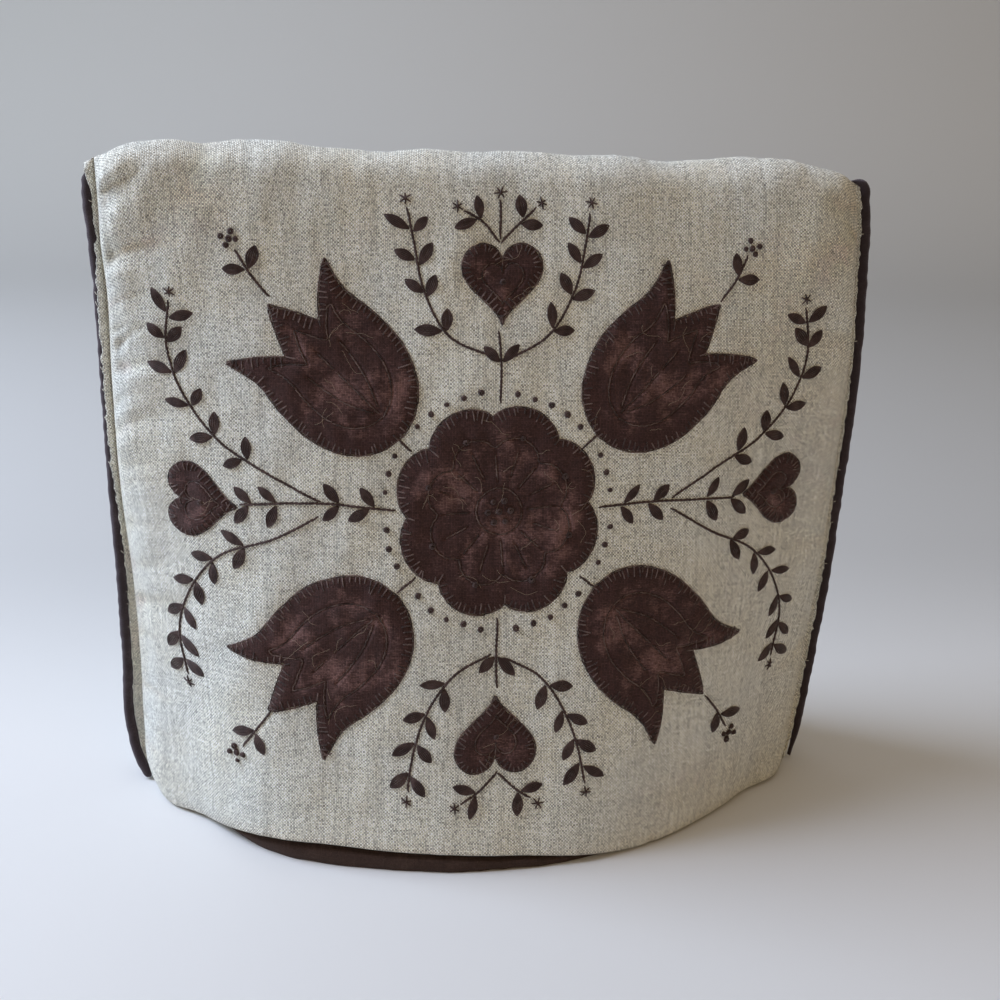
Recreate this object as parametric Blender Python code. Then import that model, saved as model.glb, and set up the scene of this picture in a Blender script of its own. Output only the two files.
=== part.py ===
"""Padded linen tea cosy with a brown lining, piped side seams and cut patches.

One length of coarse cream linen, padded, is folded over the top and joined at the two sides, and it
stands open on its hem. Metres, +Z up, front towards -Y. The origin is on the surface that the cosy
stands on, under the middle of its outer box.
"""

import math
from collections import namedtuple

import bpy
import numpy as np

# Whole cosy
HALF_WIDTH = 0.1685  # from the middle to the outside of the piping, at the widest
RIDGE_HEIGHT = 0.2892  # highest place of the fold over the top
FRONT_DEPTH = 0.0906  # from the seams to the front of the foot
BACK_DEPTH = 0.0890

# Cover: padded linen
PAD_RADIUS = 0.0115  # of the roll over the top, and half the thickness at the shoulders
PAD_THICKNESS = 0.0090
EDGE_ROLL = 0.0120  # width over which the padding rises beside a seam
STRIP_HALF = 0.0011  # half the thickness of the flat sewn strip beside each piping
STRIP_LIP = 0.0005  # from the strip's edge to where it is fully thick
STRIP_SHOULDER = 0.0020  # height over which the strip thins at its top end
HEM_THICKNESS = 0.0032
HEM_TAPER = 0.026  # height over which the padding thins to the hem
SEAM_BLEND = 0.12  # share of the half width over which front and back hems come together
BACK_FULLNESS = 1.55  # exponent of the back's plan curve: 1 is a wedge, 2 an ellipse

# Lining
GAP = 0.0003  # between touching pieces
LINING_THICKNESS = 0.0015
LINING_KICK = 0.0024  # how far the lining comes forward under a lifted hem
KICK_FROM = 0.0020  # lift of the hem at which the lining starts to come forward
KICK_TO = 0.0050  # lift of the hem at which the lining comes all that way

# Piping
PIPING_WIDTH = 0.0046
PIPING_DEPTH = 0.0050
PIPING_SIDES = 10
PIPING_RINGS = 30
PIPING_END = 0.6  # width of the piping's ends, as a share of its width
LEFT_PIPING_DROP = 0.0035  # from the shoulder down to the top of the left piping

# Patches
PATCH_THICKNESS = 0.0010
PATCH_LIFT = 0.0007  # from the cover's surface to the underside of a patch

# Mesh
OUTER_ROWS = 22  # down the panel, below the roll over the top
INNER_ROWS = 5
PANEL_COLUMNS = 24
SEAM_STEP = 0.008  # between the first columns inside the cover, as a share of the half width
EDGE_CROWDING = 0.6  # how much the columns crowd towards the seams
NORMAL_STEP = 0.0005  # between the points that a surface's direction is worked out from
SMOOTH_ANGLE = 50  # degrees between faces up to which they are shaded as one surface
ROLL_SHARES = (0.0, 0.0014, 0.0055, 0.012, 0.023, 0.038)  # of the height, from the top
INNER_ROLL_SHARES = (0.0, 0.0018, 0.006, 0.02)

# Side seams: where the outside of the piping is at each height, how wide the flat strip inside it
# is, and how far the seam comes forward
SeamRow = namedtuple("SeamRow", "height left right left_strip right_strip forward")
SEAMS = (
    SeamRow(0.000, 0.1585, 0.1555, 0.0036, 0.0026, 0.0085),
    SeamRow(0.009, 0.1632, 0.1598, 0.0038, 0.0027, 0.0036),
    SeamRow(0.024, 0.1660, 0.1627, 0.0040, 0.0028, 0.0004),
    SeamRow(0.058, 0.1660, 0.1648, 0.0040, 0.0030, 0.0000),
    SeamRow(0.097, 0.1657, 0.1671, 0.0036, 0.0028, 0.0000),
    SeamRow(0.145, 0.1664, 0.1679, 0.0030, 0.0022, 0.0000),
    SeamRow(0.190, 0.1664, 0.1685, 0.0026, 0.0018, 0.0000),
    SeamRow(0.235, 0.1678, 0.1665, 0.0024, 0.0018, 0.0000),
    SeamRow(0.262, 0.1684, 0.1640, 0.0024, 0.0018, 0.0000),
    SeamRow(0.279, 0.1674, 0.1612, 0.0024, 0.0018, 0.0000),
)
# How the right piping turns in over its shoulder, from its highest straight place
TurnRow = namedtuple("TurnRow", "inwards up")
RIGHT_TURN = (
    TurnRow(0.0000, 0.0010),
    TurnRow(0.0010, 0.0028),
    TurnRow(0.0030, 0.0037),
    TurnRow(0.0060, 0.0039),
)

FORWARD_FROM = 0.80  # share of the half width beyond which the cloth goes forward with its seam

# Fold over the top: its height at each place across, as a share of the half width
RidgeRow = namedtuple("RidgeRow", "across height")
RIDGE = (
    RidgeRow(-1.00, 0.2805),
    RidgeRow(-0.96, 0.2842),
    RidgeRow(-0.91, 0.2878),
    RidgeRow(-0.84, 0.2894),
    RidgeRow(-0.70, 0.2887),
    RidgeRow(-0.30, 0.2883),
    RidgeRow(0.10, 0.2873),
    RidgeRow(0.45, 0.2877),
    RidgeRow(0.68, 0.2888),
    RidgeRow(0.80, 0.2880),
    RidgeRow(0.89, 0.2857),
    RidgeRow(0.955, 0.2817),
    RidgeRow(1.00, 0.2763),
)

# Foot: how far the front swells out at each place across, and how high its hem is lifted
FootRow = namedtuple("FootRow", "across swell lift")
FOOT = (
    FootRow(-1.00, 0.000, 0.0016),
    FootRow(-0.94, 0.185, 0.0020),
    FootRow(-0.78, 0.540, 0.0024),
    FootRow(-0.62, 0.765, 0.0052),
    FootRow(-0.45, 0.900, 0.0066),
    FootRow(-0.20, 0.985, 0.0073),
    FootRow(0.00, 1.000, 0.0068),
    FootRow(0.24, 0.955, 0.0036),
    FootRow(0.38, 0.890, 0.0010),
    FootRow(0.53, 0.775, 0.0009),
    FootRow(0.62, 0.660, 0.0009),
    FootRow(0.75, 0.465, 0.0009),
    FootRow(0.85, 0.290, 0.0010),
    FootRow(0.94, 0.125, 0.0014),
    FootRow(1.00, 0.000, 0.0016),
)
BACK_LIFT = 0.0012

# Lining's foot, from the table up: height as a share of the room under the hem, and how much of
# the kick it has there
LiningFootRow = namedtuple("LiningFootRow", "height kick")
LINING_FOOT = (
    LiningFootRow(0.00, 0.5),
    LiningFootRow(0.45, 1.0),
    LiningFootRow(0.80, 0.7),
    LiningFootRow(0.90, 0.0),
)

# Soft folds beside the seams of the front: side -1 is left, heights and sizes in metres
FoldRow = namedtuple("FoldRow", "side height slope spread depth reach")
FOLDS = (
    FoldRow(-1, 0.262, 0.85, 0.0060, 0.0030, 0.034),
    FoldRow(-1, 0.246, 0.25, 0.0075, 0.0024, 0.046),
    FoldRow(-1, 0.206, 0.12, 0.0080, 0.0030, 0.052),
    FoldRow(-1, 0.180, 0.05, 0.0070, 0.0020, 0.040),
    FoldRow(-1, 0.094, -0.10, 0.0080, 0.0020, 0.040),
    FoldRow(-1, 0.062, -0.15, 0.0080, 0.0018, 0.036),
    FoldRow(1, 0.262, 0.70, 0.0065, 0.0024, 0.030),
    FoldRow(1, 0.216, 0.10, 0.0090, 0.0012, 0.034),
    FoldRow(1, 0.066, -0.20, 0.0085, 0.0018, 0.036),
)
FOLD_START = 0.0060  # distance from the seam over which a fold comes to its full depth
FOLD_THINNEST = 0.0040  # half the cosy's thickness up to which no fold sinks in
FOLD_THICKER = 0.0080  # how much thicker it is where a fold is at its full depth

# Patches: the middle of each on the front, its width and length, and its turn from upright
PatchRow = namedtuple("PatchRow", "name shape across height width length turn")
PATCHES = (
    PatchRow("rose", "rose", 0.000, 0.148, 0.086, 0.086, 4),
    PatchRow("tulip_1", "tulip", -0.067, 0.203, 0.058, 0.074, 47),
    PatchRow("tulip_2", "tulip", 0.068, 0.204, 0.058, 0.074, -45),
    PatchRow("tulip_3", "tulip", -0.069, 0.089, 0.058, 0.074, 134),
    PatchRow("tulip_4", "tulip", 0.067, 0.090, 0.058, 0.074, -135),
    PatchRow("heart_1", "heart", 0.001, 0.238, 0.033, 0.031, 0),
    PatchRow("heart_2", "heart", -0.001, 0.057, 0.034, 0.032, 180),
    PatchRow("heart_3", "heart", -0.122, 0.147, 0.031, 0.029, 88),
    PatchRow("heart_4", "heart", 0.123, 0.149, 0.031, 0.029, -91),
)
ROSE_SCALLOPS = 8
SCALLOP_POINTS = 4
SCALLOP_SHAPE = 0.7  # exponent of a scallop's curve: 1 is a sine, less is fuller
ROSE_BITE = 0.13  # depth of the notches between scallops, as a share of the radius
HEART_POINTS = 16
HEART_MIDDLE = 2.5  # moves the heart curve's middle to the patch's middle
HEART_HALF_LENGTH = 14.5  # of the heart curve
PATCH_RINGS = {"rose": (0.33, 0.68, 1.0), "tulip": (0.38, 0.7, 1.0), "heart": (0.5, 1.0)}

# Half of a tulip's outline, from the middle of its base round to its middle tip, as shares
TulipRow = namedtuple("TulipRow", "along across")
TULIP = (
    TulipRow(0.00, 0.00),
    TulipRow(0.03, 0.16),
    TulipRow(0.13, 0.33),
    TulipRow(0.32, 0.45),
    TulipRow(0.55, 0.47),
    TulipRow(0.76, 0.44),
    TulipRow(0.95, 0.50),
    TulipRow(0.84, 0.30),
    TulipRow(0.74, 0.17),
    TulipRow(0.87, 0.09),
    TulipRow(1.00, 0.00),
)

# Finishes
Finish = namedtuple("Finish", "color roughness")
LINEN = Finish((0.62, 0.59, 0.51), 0.92)
LINING_COTTON = Finish((0.045, 0.026, 0.020), 0.95)
PIPING_COTTON = Finish((0.022, 0.014, 0.012), 0.90)
PATCH_COTTON = Finish((0.062, 0.032, 0.027), 0.95)


def eased(rows, column, at):
    """Smooth value of one column of a table at the places `at` of its first column."""
    keys = np.array([row[0] for row in rows])
    values = np.array([getattr(row, column) for row in rows])
    slopes = np.gradient(values, keys)
    at = np.clip(at, keys[0], keys[-1])
    k = np.clip(np.searchsorted(keys, at) - 1, 0, len(keys) - 2)
    span = keys[k + 1] - keys[k]
    t = (at - keys[k]) / span
    start = (1 + 2 * t) * (1 - t) ** 2 * values[k] + t * (1 - t) ** 2 * span * slopes[k]
    end = t * t * (3 - 2 * t) * values[k + 1] - t * t * (1 - t) * span * slopes[k + 1]
    return start + end


def roll(distance, width):
    """Height of a round roll, from 0 at its foot to 1, `distance` in from its edge."""
    share = np.clip(distance / width, 0, 1)
    return np.sqrt(1 - (1 - share) ** 2)


def step(share):
    """Smooth step from 0 to 1."""
    share = np.clip(share, 0, 1)
    return share * share * (3 - 2 * share)


def crowded(count):
    """Places from -1 to 1 across the panel, closer together towards the seams."""
    even = np.linspace(-1, 1, count + 1)
    return (1 - EDGE_CROWDING) * even + EDGE_CROWDING * np.sin(even * math.pi / 2)


def inner_columns():
    """Places across a surface inside the cover, one for each column of the cover's outside."""
    seam = -1 + SEAM_STEP * np.arange(3)
    return np.concatenate([seam, crowded(PANEL_COLUMNS)[1:-1], -seam[::-1]])


def panel_edges(height):
    """Left and right edges of the padded panel at a height."""
    cord = PIPING_WIDTH + GAP
    left = cord + eased(SEAMS, "left_strip", height) - eased(SEAMS, "left", height)
    right = eased(SEAMS, "right", height) - cord - eased(SEAMS, "right_strip", height)
    return left, right


def forward(across, height):
    """How far the cloth beside a seam comes forward with it, near the table."""
    share = step((np.abs(across) - FORWARD_FROM) / (1 - FORWARD_FROM))
    return eased(SEAMS, "forward", height) * share


def panel_x(across, height, inset=0.0):
    """X of a place across the panel, -1 to 1, for a surface lying `inset` inside the cover."""
    left, right = panel_edges(height)
    middle = (left + right) / 2
    return middle + across * ((right - left) / 2 - inset)


def hem_relief(height):
    """How much thinner the padding is at a height than over the rest of the panel."""
    full = PAD_THICKNESS - HEM_THICKNESS
    return full * (1 - step(height / HEM_TAPER))


def swell(across, front):
    """Plan curve of the front or back foot: 0 at the seams, 1 at the fullest."""
    if front:
        return eased(FOOT, "swell", across)
    return (1 - np.abs(across) ** BACK_FULLNESS) ** (1 / BACK_FULLNESS)


def fold_depth(across, height):
    """How far the soft folds beside the seams sink into the front."""
    half = HALF_WIDTH - PIPING_WIDTH
    sunk = np.zeros_like(across + height)
    for row in FOLDS:
        from_seam = half * (1 - across * row.side)
        line = row.height + row.slope * from_seam
        shape = np.exp(-(((height - line) / row.spread) ** 2))
        fade = step(from_seam / FOLD_START) * (1 - step(from_seam / row.reach))
        sunk = sunk + row.depth * shape * fade
    return sunk


def half_depth(across, height, inset=0.0, front=True):
    """Half of the cosy's thickness at a place, for a surface lying `inset` inside the cover."""
    ridge = eased(RIDGE, "height", across)
    slack = PAD_RADIUS - inset
    inset_here = inset - hem_relief(height) if inset else inset
    radius = PAD_RADIUS - inset_here
    from_edge = (1 - np.abs(across)) * (HALF_WIDTH - inset)
    edge = roll(from_edge, EDGE_ROLL - inset_here)
    if not inset:
        edge = STRIP_HALF / radius + (1 - STRIP_HALF / radius) * edge
    below = np.maximum(ridge - height, 0)
    fullest = (FRONT_DEPTH if front else BACK_DEPTH) - PAD_RADIUS
    bow = fullest * below / RIDGE_HEIGHT * swell(across, front)
    top = roll(ridge - inset - height, slack)
    depth = (radius * edge + bow) * top
    if front and not inset:
        room = step((depth - FOLD_THINNEST) / FOLD_THICKER)
        depth = depth - fold_depth(across, height) * room
    return depth


def rows_of(shares, count):
    """Shares of the height from the hem, 0, to the top, 1, with the given rows near the top."""
    top = 1 - np.array(shares)
    down = np.linspace(top[-1], 0, count + 1)[1:]
    return np.concatenate([top, down])[::-1]


def surface_rows(across, heights, inset, front):
    """Points of one side of a surface: a row of points for each row of heights."""
    x = panel_x(across, heights, np.maximum(inset - hem_relief(heights), 0) if inset else 0.0)
    y = half_depth(across, heights, inset, front)
    y = (-y if front else y) - forward(across, heights)
    return np.stack([x, y, heights + 0 * x], -1)


def folded_grid(front, back):
    """One grid from a front and a back that share their top row and their side edges.

    Rows run from the front hem over the top to the back hem. Returns the points and the
    number of the point at each row and column.
    """
    rows, columns = front.shape[0] - 1, front.shape[1]
    numbers = np.zeros((2 * rows + 1, columns), int)
    points = []
    for j in range(rows + 1):
        for i in range(columns):
            numbers[j, i] = len(points)
            points.append(front[j, i])
    for j in range(rows - 1, -1, -1):
        row = 2 * rows - j
        for i in range(columns):
            if i in (0, columns - 1):
                numbers[row, i] = numbers[j, i]
                continue
            numbers[row, i] = len(points)
            points.append(back[j, i])
    return points, numbers


def halves(a, b, c, d, outward=True):
    """The two triangles of a bent four-sided face, always cut along the same diagonal."""
    pair = [[a, b, c], [a, c, d]]
    return pair if outward else [face[::-1] for face in pair]


def grid_faces(numbers, outward=True):
    """Triangles of a grid of point numbers."""
    faces = []
    for lower, upper in zip(numbers[:-1], numbers[1:]):
        for i in range(len(lower) - 1):
            faces += halves(lower[i], lower[i + 1], upper[i + 1], upper[i], outward)
    return faces


def hem_loop(numbers):
    """Point numbers round the open lower edge of a folded grid."""
    return list(numbers[0, :]) + list(numbers[-1, -2:0:-1])


def rim_faces(outer, inner):
    """Triangles that join two loops of the same length, facing down."""
    faces = []
    for k in range(len(outer)):
        n = (k + 1) % len(outer)
        faces += halves(outer[k], inner[k], inner[n], outer[n])
    return faces


def make_object(name, points, faces, finish):
    """A closed mesh object with its own material."""
    mesh = bpy.data.meshes.new(name)
    mesh.from_pydata([tuple(map(float, p)) for p in points], [], [list(map(int, f)) for f in faces])
    mesh.shade_smooth()
    mesh.set_sharp_from_angle(angle=math.radians(SMOOTH_ANGLE))
    material = bpy.data.materials.new(name)
    material.use_nodes = True
    shader = material.node_tree.nodes["Principled BSDF"]
    shader.inputs["Base Color"].default_value = (*finish.color, 1)
    shader.inputs["Roughness"].default_value = finish.roughness
    shader.inputs["Metallic"].default_value = 0
    mesh.materials.append(material)
    made = bpy.data.objects.new(name, mesh)
    bpy.context.scene.collection.objects.link(made)
    return made


def hem_lift(across, front):
    """Height of the cover's hem above the table, the same for front and back at the seams."""
    lift = eased(FOOT, "lift", across) if front else BACK_LIFT + 0 * across
    seam_lift = np.where(across < 0, FOOT[0].lift, FOOT[-1].lift)
    blend = step((1 - np.abs(across)) / SEAM_BLEND)
    return lift * blend + seam_lift * (1 - blend)


def cover_side(front):
    """Outer points of the front or back of the cover, with the flat strips at the seams."""
    across = crowded(PANEL_COLUMNS)
    shares = rows_of(ROLL_SHARES, OUTER_ROWS)
    hem = hem_lift(across, front)
    ridge = eased(RIDGE, "height", across)
    heights = hem + (ridge - hem) * shares[:, None]
    panel = surface_rows(across[None, :], heights, 0.0, front)
    strips = []
    for column, outwards, width in ((0, -1, "left_strip"), (-1, 1, "right_strip")):
        inner = panel[:, column]
        out = outwards * eased(SEAMS, width, inner[:, 2])
        seam_y = -forward(outwards, inner[:, 2])
        thick = STRIP_HALF * roll(ridge[column] - inner[:, 2], STRIP_SHOULDER)
        edge = np.stack([inner[:, 0] + out, seam_y, inner[:, 2]], -1)
        lip_x = inner[:, 0] + out - outwards * STRIP_LIP
        lip = np.stack([lip_x, seam_y + (-thick if front else thick), inner[:, 2]], -1)
        strips.append((edge[:, None], lip[:, None]))
    (left_edge, left_lip), (right_edge, right_lip) = strips
    return np.concatenate([left_edge, left_lip, panel, right_lip, right_edge], 1)


def hollow_side(across, inset, front):
    """Points of one side of a surface inside the cover, from the hem's height upwards."""
    hem = hem_lift(across, front)
    ridge = eased(RIDGE, "height", across) - inset
    heights = hem + (ridge - hem) * rows_of(INNER_ROLL_SHARES, INNER_ROWS)[:, None]
    return surface_rows(across[None, :], heights, inset, front)


def make_cover():
    """The padded linen cover: one closed shell, open at the bottom."""
    outer_points, outer = folded_grid(cover_side(True), cover_side(False))
    across = inner_columns()
    sides = [hollow_side(across, PAD_THICKNESS, front) for front in (True, False)]
    inner_points, inner = folded_grid(*joined_edges(sides))
    inner = inner + len(outer_points)
    faces = grid_faces(outer) + grid_faces(inner, outward=False)
    faces += rim_faces(hem_loop(outer), hem_loop(inner))
    return make_object("cover", outer_points + inner_points, faces, LINEN)


def joined_edges(sides):
    """The two sides of a hollow, with their side edges and top rows brought together."""
    front, back = sides
    for place in (np.s_[:, 0, 1], np.s_[:, -1, 1], np.s_[-1, :, 1]):
        front[place] = back[place] = (front[place] + back[place]) / 2
    return sides


def lining_side(across, inset, front):
    """Points of one side of the lining's outer or inner surface, from the table upwards."""
    lift = hem_lift(across, front)
    kick = LINING_KICK * step((lift - KICK_FROM) / (KICK_TO - KICK_FROM))
    kick = kick * roll(1 - np.abs(across), SEAM_BLEND)
    rows = []
    for foot in LINING_FOOT:
        row = surface_rows(across, foot.height * (lift - GAP), inset, front)
        row[:, 1] += foot.kick * (-kick if front else kick)
        rows.append(row)
    return np.concatenate([rows, hollow_side(across, inset, front)])


def make_lining():
    """The brown lining: a thin open-bottomed bag inside the cover, standing on its edge."""
    across = inner_columns()
    first = PAD_THICKNESS + GAP
    second = first + LINING_THICKNESS
    points, faces, loops = [], [], []
    for inset, outward in ((first, True), (second, False)):
        sides = [lining_side(across, inset, front) for front in (True, False)]
        made, numbers = folded_grid(*joined_edges(sides))
        numbers = numbers + len(points)
        points += made
        faces += grid_faces(numbers, outward)
        loops.append(hem_loop(numbers))
    faces += rim_faces(*loops)
    return make_object("lining", points, faces, LINING_COTTON)


def piping_path(side):
    """Centre line of one piping, from just above the table up to the shoulder.

    The left one stops under the cloth's corner, and the right one turns over it.
    """
    column = "left" if side < 0 else "right"
    top = RIDGE[0].height - LEFT_PIPING_DROP if side < 0 else RIDGE[-1].height
    heights = np.linspace(PIPING_DEPTH / 2 + GAP, top, PIPING_RINGS)
    out = eased(SEAMS, column, heights) - PIPING_WIDTH / 2
    path = np.stack([side * out, -forward(1.0, heights), heights], -1)
    if side < 0:
        return path
    turn = [(path[-1, 0] - row.inwards, 0.0, top + row.up) for row in RIGHT_TURN]
    return np.concatenate([path[:-1], turn])


def make_piping(name, side):
    """One length of piping: an oval cord with rounded ends, beside its seam."""
    path = piping_path(side)
    along = np.gradient(path, axis=0)
    along /= np.linalg.norm(along, axis=1)[:, None]
    points, faces = [], []
    for k, (centre, way) in enumerate(zip(path, along)):
        sideways = np.cross((0, 1, 0), way)
        full = PIPING_END if k in (0, len(path) - 1) else 1.0
        for n in range(PIPING_SIDES):
            turn = 2 * math.pi * n / PIPING_SIDES
            x = full * PIPING_WIDTH / 2 * math.cos(turn)
            y = full * PIPING_DEPTH / 2 * math.sin(turn)
            points.append(centre + sideways * x + np.array([0, y, 0]))
    for k in range(len(path) - 1):
        for n in range(PIPING_SIDES):
            m = (n + 1) % PIPING_SIDES
            a, b = k * PIPING_SIDES, (k + 1) * PIPING_SIDES
            faces.append([a + n, a + m, b + m, b + n])
    last = (len(path) - 1) * PIPING_SIDES
    faces.append(list(range(PIPING_SIDES))[::-1])
    faces.append([last + n for n in range(PIPING_SIDES)])
    return make_object(name, points, faces, PIPING_COTTON)


def front_point(x, height, lift):
    """Point standing `lift` off the front of the cover, over the elevation (x, height)."""
    def on_cover(x_at, height_at):
        left, right = panel_edges(height_at)
        across = (x_at - (left + right) / 2) / ((right - left) / 2)
        depth = half_depth(across, height_at) + forward(across, height_at)
        return np.array([x_at, -float(depth), height_at])

    here = on_cover(x, height)
    sideways = on_cover(x + NORMAL_STEP, height) - here
    upwards = on_cover(x, height + NORMAL_STEP) - here
    normal = np.cross(sideways, upwards)
    return here + lift * normal / np.linalg.norm(normal)


def rose_outline():
    """Scalloped round outline, two units across."""
    count = ROSE_SCALLOPS * SCALLOP_POINTS
    outline = []
    for k in range(count):
        turn = 2 * math.pi * k / count
        lobe = abs(math.sin(turn * ROSE_SCALLOPS / 2)) ** SCALLOP_SHAPE
        radius = 1 - ROSE_BITE * (1 - lobe)
        outline.append((radius * math.cos(turn), radius * math.sin(turn)))
    return outline


def tulip_outline():
    """Cup with three pointed petals, two units across and two long, tips upwards."""
    half = [(2 * row.across, 2 * row.along - 1) for row in TULIP]
    mirrored = [(-x, y) for x, y in half[-2:0:-1]]
    return half + mirrored


def heart_outline():
    """The usual heart curve, two units across and two long, with its point downwards."""
    outline = []
    for k in range(HEART_POINTS):
        turn = 2 * math.pi * k / HEART_POINTS
        across = -math.sin(turn) ** 3
        up = 13 * math.cos(turn) - 5 * math.cos(2 * turn) - 2 * math.cos(3 * turn)
        up = (up - math.cos(4 * turn) + HEART_MIDDLE) / HEART_HALF_LENGTH
        outline.append((across, up))
    return outline


OUTLINES = {"rose": rose_outline, "tulip": tulip_outline, "heart": heart_outline}


def patch_place(row, x, y):
    """Elevation coordinates of a point of a patch's outline, `x` and `y` in units of its halves."""
    x, y = x * row.width / 2, y * row.length / 2
    turn = math.radians(row.turn)
    across = row.across + x * math.cos(turn) - y * math.sin(turn)
    height = row.height + x * math.sin(turn) + y * math.cos(turn)
    return across, height


def patch_side(row, lift, first):
    """One side of a patch, from its middle out in rings: its points and point numbers."""
    outline = OUTLINES[row.shape]()
    points = [front_point(row.across, row.height, lift)]
    rings = []
    for share in PATCH_RINGS[row.shape]:
        rings.append([first + len(points) + k for k in range(len(outline))])
        for x, y in outline:
            points.append(front_point(*patch_place(row, x * share, y * share), lift))
    return points, rings


def make_patch(row):
    """One cut patch: a thin plate that follows the front of the cover."""
    points, faces, rims = [], [], []
    for lift, outward in ((PATCH_LIFT, False), (PATCH_LIFT + PATCH_THICKNESS, True)):
        centre = len(points)
        made, rings = patch_side(row, lift, centre)
        points += made
        around = [(k, (k + 1) % len(rings[0])) for k in range(len(rings[0]))]
        for k, n in around:
            face = [centre, rings[0][k], rings[0][n]]
            faces.append(face if outward else face[::-1])
        for within, ring in zip(rings[:-1], rings[1:]):
            for k, n in around:
                faces += halves(within[k], ring[k], ring[n], within[n], outward)
        rims.append(rings[-1])
    faces += rim_faces(*rims[::-1])
    return make_object(row.name, points, faces, PATCH_COTTON)


def main():
    """Clears the scene and builds every piece."""
    for old in list(bpy.data.objects):
        bpy.data.objects.remove(old)
    make_cover()
    make_lining()
    make_piping("piping_left", -1)
    make_piping("piping_right", 1)
    for row in PATCHES:
        make_patch(row)


main()
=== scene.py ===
"""Padded cream linen tea cosy with dark piping, cut patches and embroidery, built round its frame.

The frame's closed solids are replaced by finer pieces of the same shape: a linen cover with woven
threads, creases and worn places, a brown lining, lumpy piping, nine sewn patches, and every stitch
as its own length of thread. Metres, +Z up, front towards -Y, as in the frame.
"""

import logging
import math
from dataclasses import dataclass
from enum import Enum
from typing import NamedTuple

import bpy
import numpy as np
from mathutils import Matrix, Vector

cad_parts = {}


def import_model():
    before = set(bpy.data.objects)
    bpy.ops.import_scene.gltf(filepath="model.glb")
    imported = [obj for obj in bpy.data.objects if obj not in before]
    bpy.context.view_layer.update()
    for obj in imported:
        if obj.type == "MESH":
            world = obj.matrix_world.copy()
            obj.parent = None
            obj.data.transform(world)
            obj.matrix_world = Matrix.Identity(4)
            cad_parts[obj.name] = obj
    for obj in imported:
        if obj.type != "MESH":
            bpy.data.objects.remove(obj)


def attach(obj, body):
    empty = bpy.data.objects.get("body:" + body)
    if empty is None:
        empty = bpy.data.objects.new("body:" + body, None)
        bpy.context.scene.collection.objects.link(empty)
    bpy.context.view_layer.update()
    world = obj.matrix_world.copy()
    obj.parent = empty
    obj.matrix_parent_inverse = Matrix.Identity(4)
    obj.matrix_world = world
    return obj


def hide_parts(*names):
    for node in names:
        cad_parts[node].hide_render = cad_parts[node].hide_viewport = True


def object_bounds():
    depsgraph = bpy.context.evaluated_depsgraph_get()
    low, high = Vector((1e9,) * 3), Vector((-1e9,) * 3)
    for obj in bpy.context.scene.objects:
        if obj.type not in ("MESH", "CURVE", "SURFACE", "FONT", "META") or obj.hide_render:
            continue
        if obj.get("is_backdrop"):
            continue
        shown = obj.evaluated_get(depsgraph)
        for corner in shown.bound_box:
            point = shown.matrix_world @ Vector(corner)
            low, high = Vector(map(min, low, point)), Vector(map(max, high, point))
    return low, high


LOG = logging.getLogger("tea_cosy")
BODY = "root"
MM = 0.001
CURVE_STEPS = 60
LAST_CELL = 1.001
TINY = 1e-12
CLOTH_MAP = "cloth"
# Stored marks: on the cover, soil, stains and painted shade; on the patches, how far in from the
# edge
MARKS = "marks"
Array = np.ndarray
Pair = tuple[float, float]
Place = Color = tuple[float, float, float]
Piece = bpy.types.Object
Material = bpy.types.Material
Socket = bpy.types.NodeSocket


class Side(Enum):
    """A side seam of the cosy, and its direction along X."""

    LEFT = -1
    RIGHT = 1


class Face(Enum):
    """Front or back of the cosy, and its direction along Y."""

    FRONT = -1
    BACK = 1


class SeamRow(NamedTuple):
    """Side seams at a height: outside of the piping, flat strips, and how far they come forward."""

    height: float
    left: float
    right: float
    left_strip: float
    right_strip: float
    forward: float


class RidgeRow(NamedTuple):
    """Height of the fold over the top at a place across."""

    across: float
    height: float


class FootRow(NamedTuple):
    """How far the front swells out at a place across, and how high its hem is lifted."""

    across: float
    swell: float
    lift: float


class LiningFootRow(NamedTuple):
    """How far forward the lining's foot comes at a share of the room under the hem."""

    height: float
    kick: float


class FoldRow(NamedTuple):
    """Soft fold running in from a side seam of the front."""

    side: int
    height: float
    slope: float
    spread: float
    depth: float
    reach: float


class WrapRow(NamedTuple):
    """How far, in degrees, the cloth's lip goes round the piping at a height."""

    height: float
    left_front: float
    right_front: float
    back: float


class PatchRow(NamedTuple):
    """Place, size and turn of a cut patch on the front."""

    name: str
    shape: str
    across: float
    height: float
    width: float
    length: float
    turn: float


class TulipRow(NamedTuple):
    """Point of half a tulip's outline, as shares of its length and width."""

    along: float
    across: float


def table(kind: type, *values: tuple) -> tuple:
    """A table: one row of a kind for each tuple of values."""
    return tuple(kind(*row) for row in values)


SEAMS = table(
    SeamRow,
    (0.000, 0.1558, 0.1555, 0.0006, 0.0026, 0.0102),
    (0.009, 0.1618, 0.1598, 0.0014, 0.0027, 0.0046),
    (0.024, 0.1654, 0.1627, 0.0036, 0.0028, 0.0006), (0.058, 0.1655, 0.1648, 0.0038, 0.0030, 0.0),
    (0.097, 0.1653, 0.1671, 0.0028, 0.0028, 0.0), (0.145, 0.1663, 0.1679, 0.0008, 0.0022, 0.0),
    (0.190, 0.1664, 0.1685, 0.0003, 0.0018, 0.0), (0.232, 0.1667, 0.1665, 0.0009, 0.0018, 0.0),
    (0.248, 0.1672, 0.1652, 0.0003, 0.0018, 0.0), (0.265, 0.1684, 0.1637, 0.0015, 0.0018, 0.0),
    (0.276, 0.1681, 0.1617, 0.0009, 0.0018, 0.0), (0.283, 0.1677, 0.1608, 0.0002, 0.0018, 0.0),
)
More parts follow.
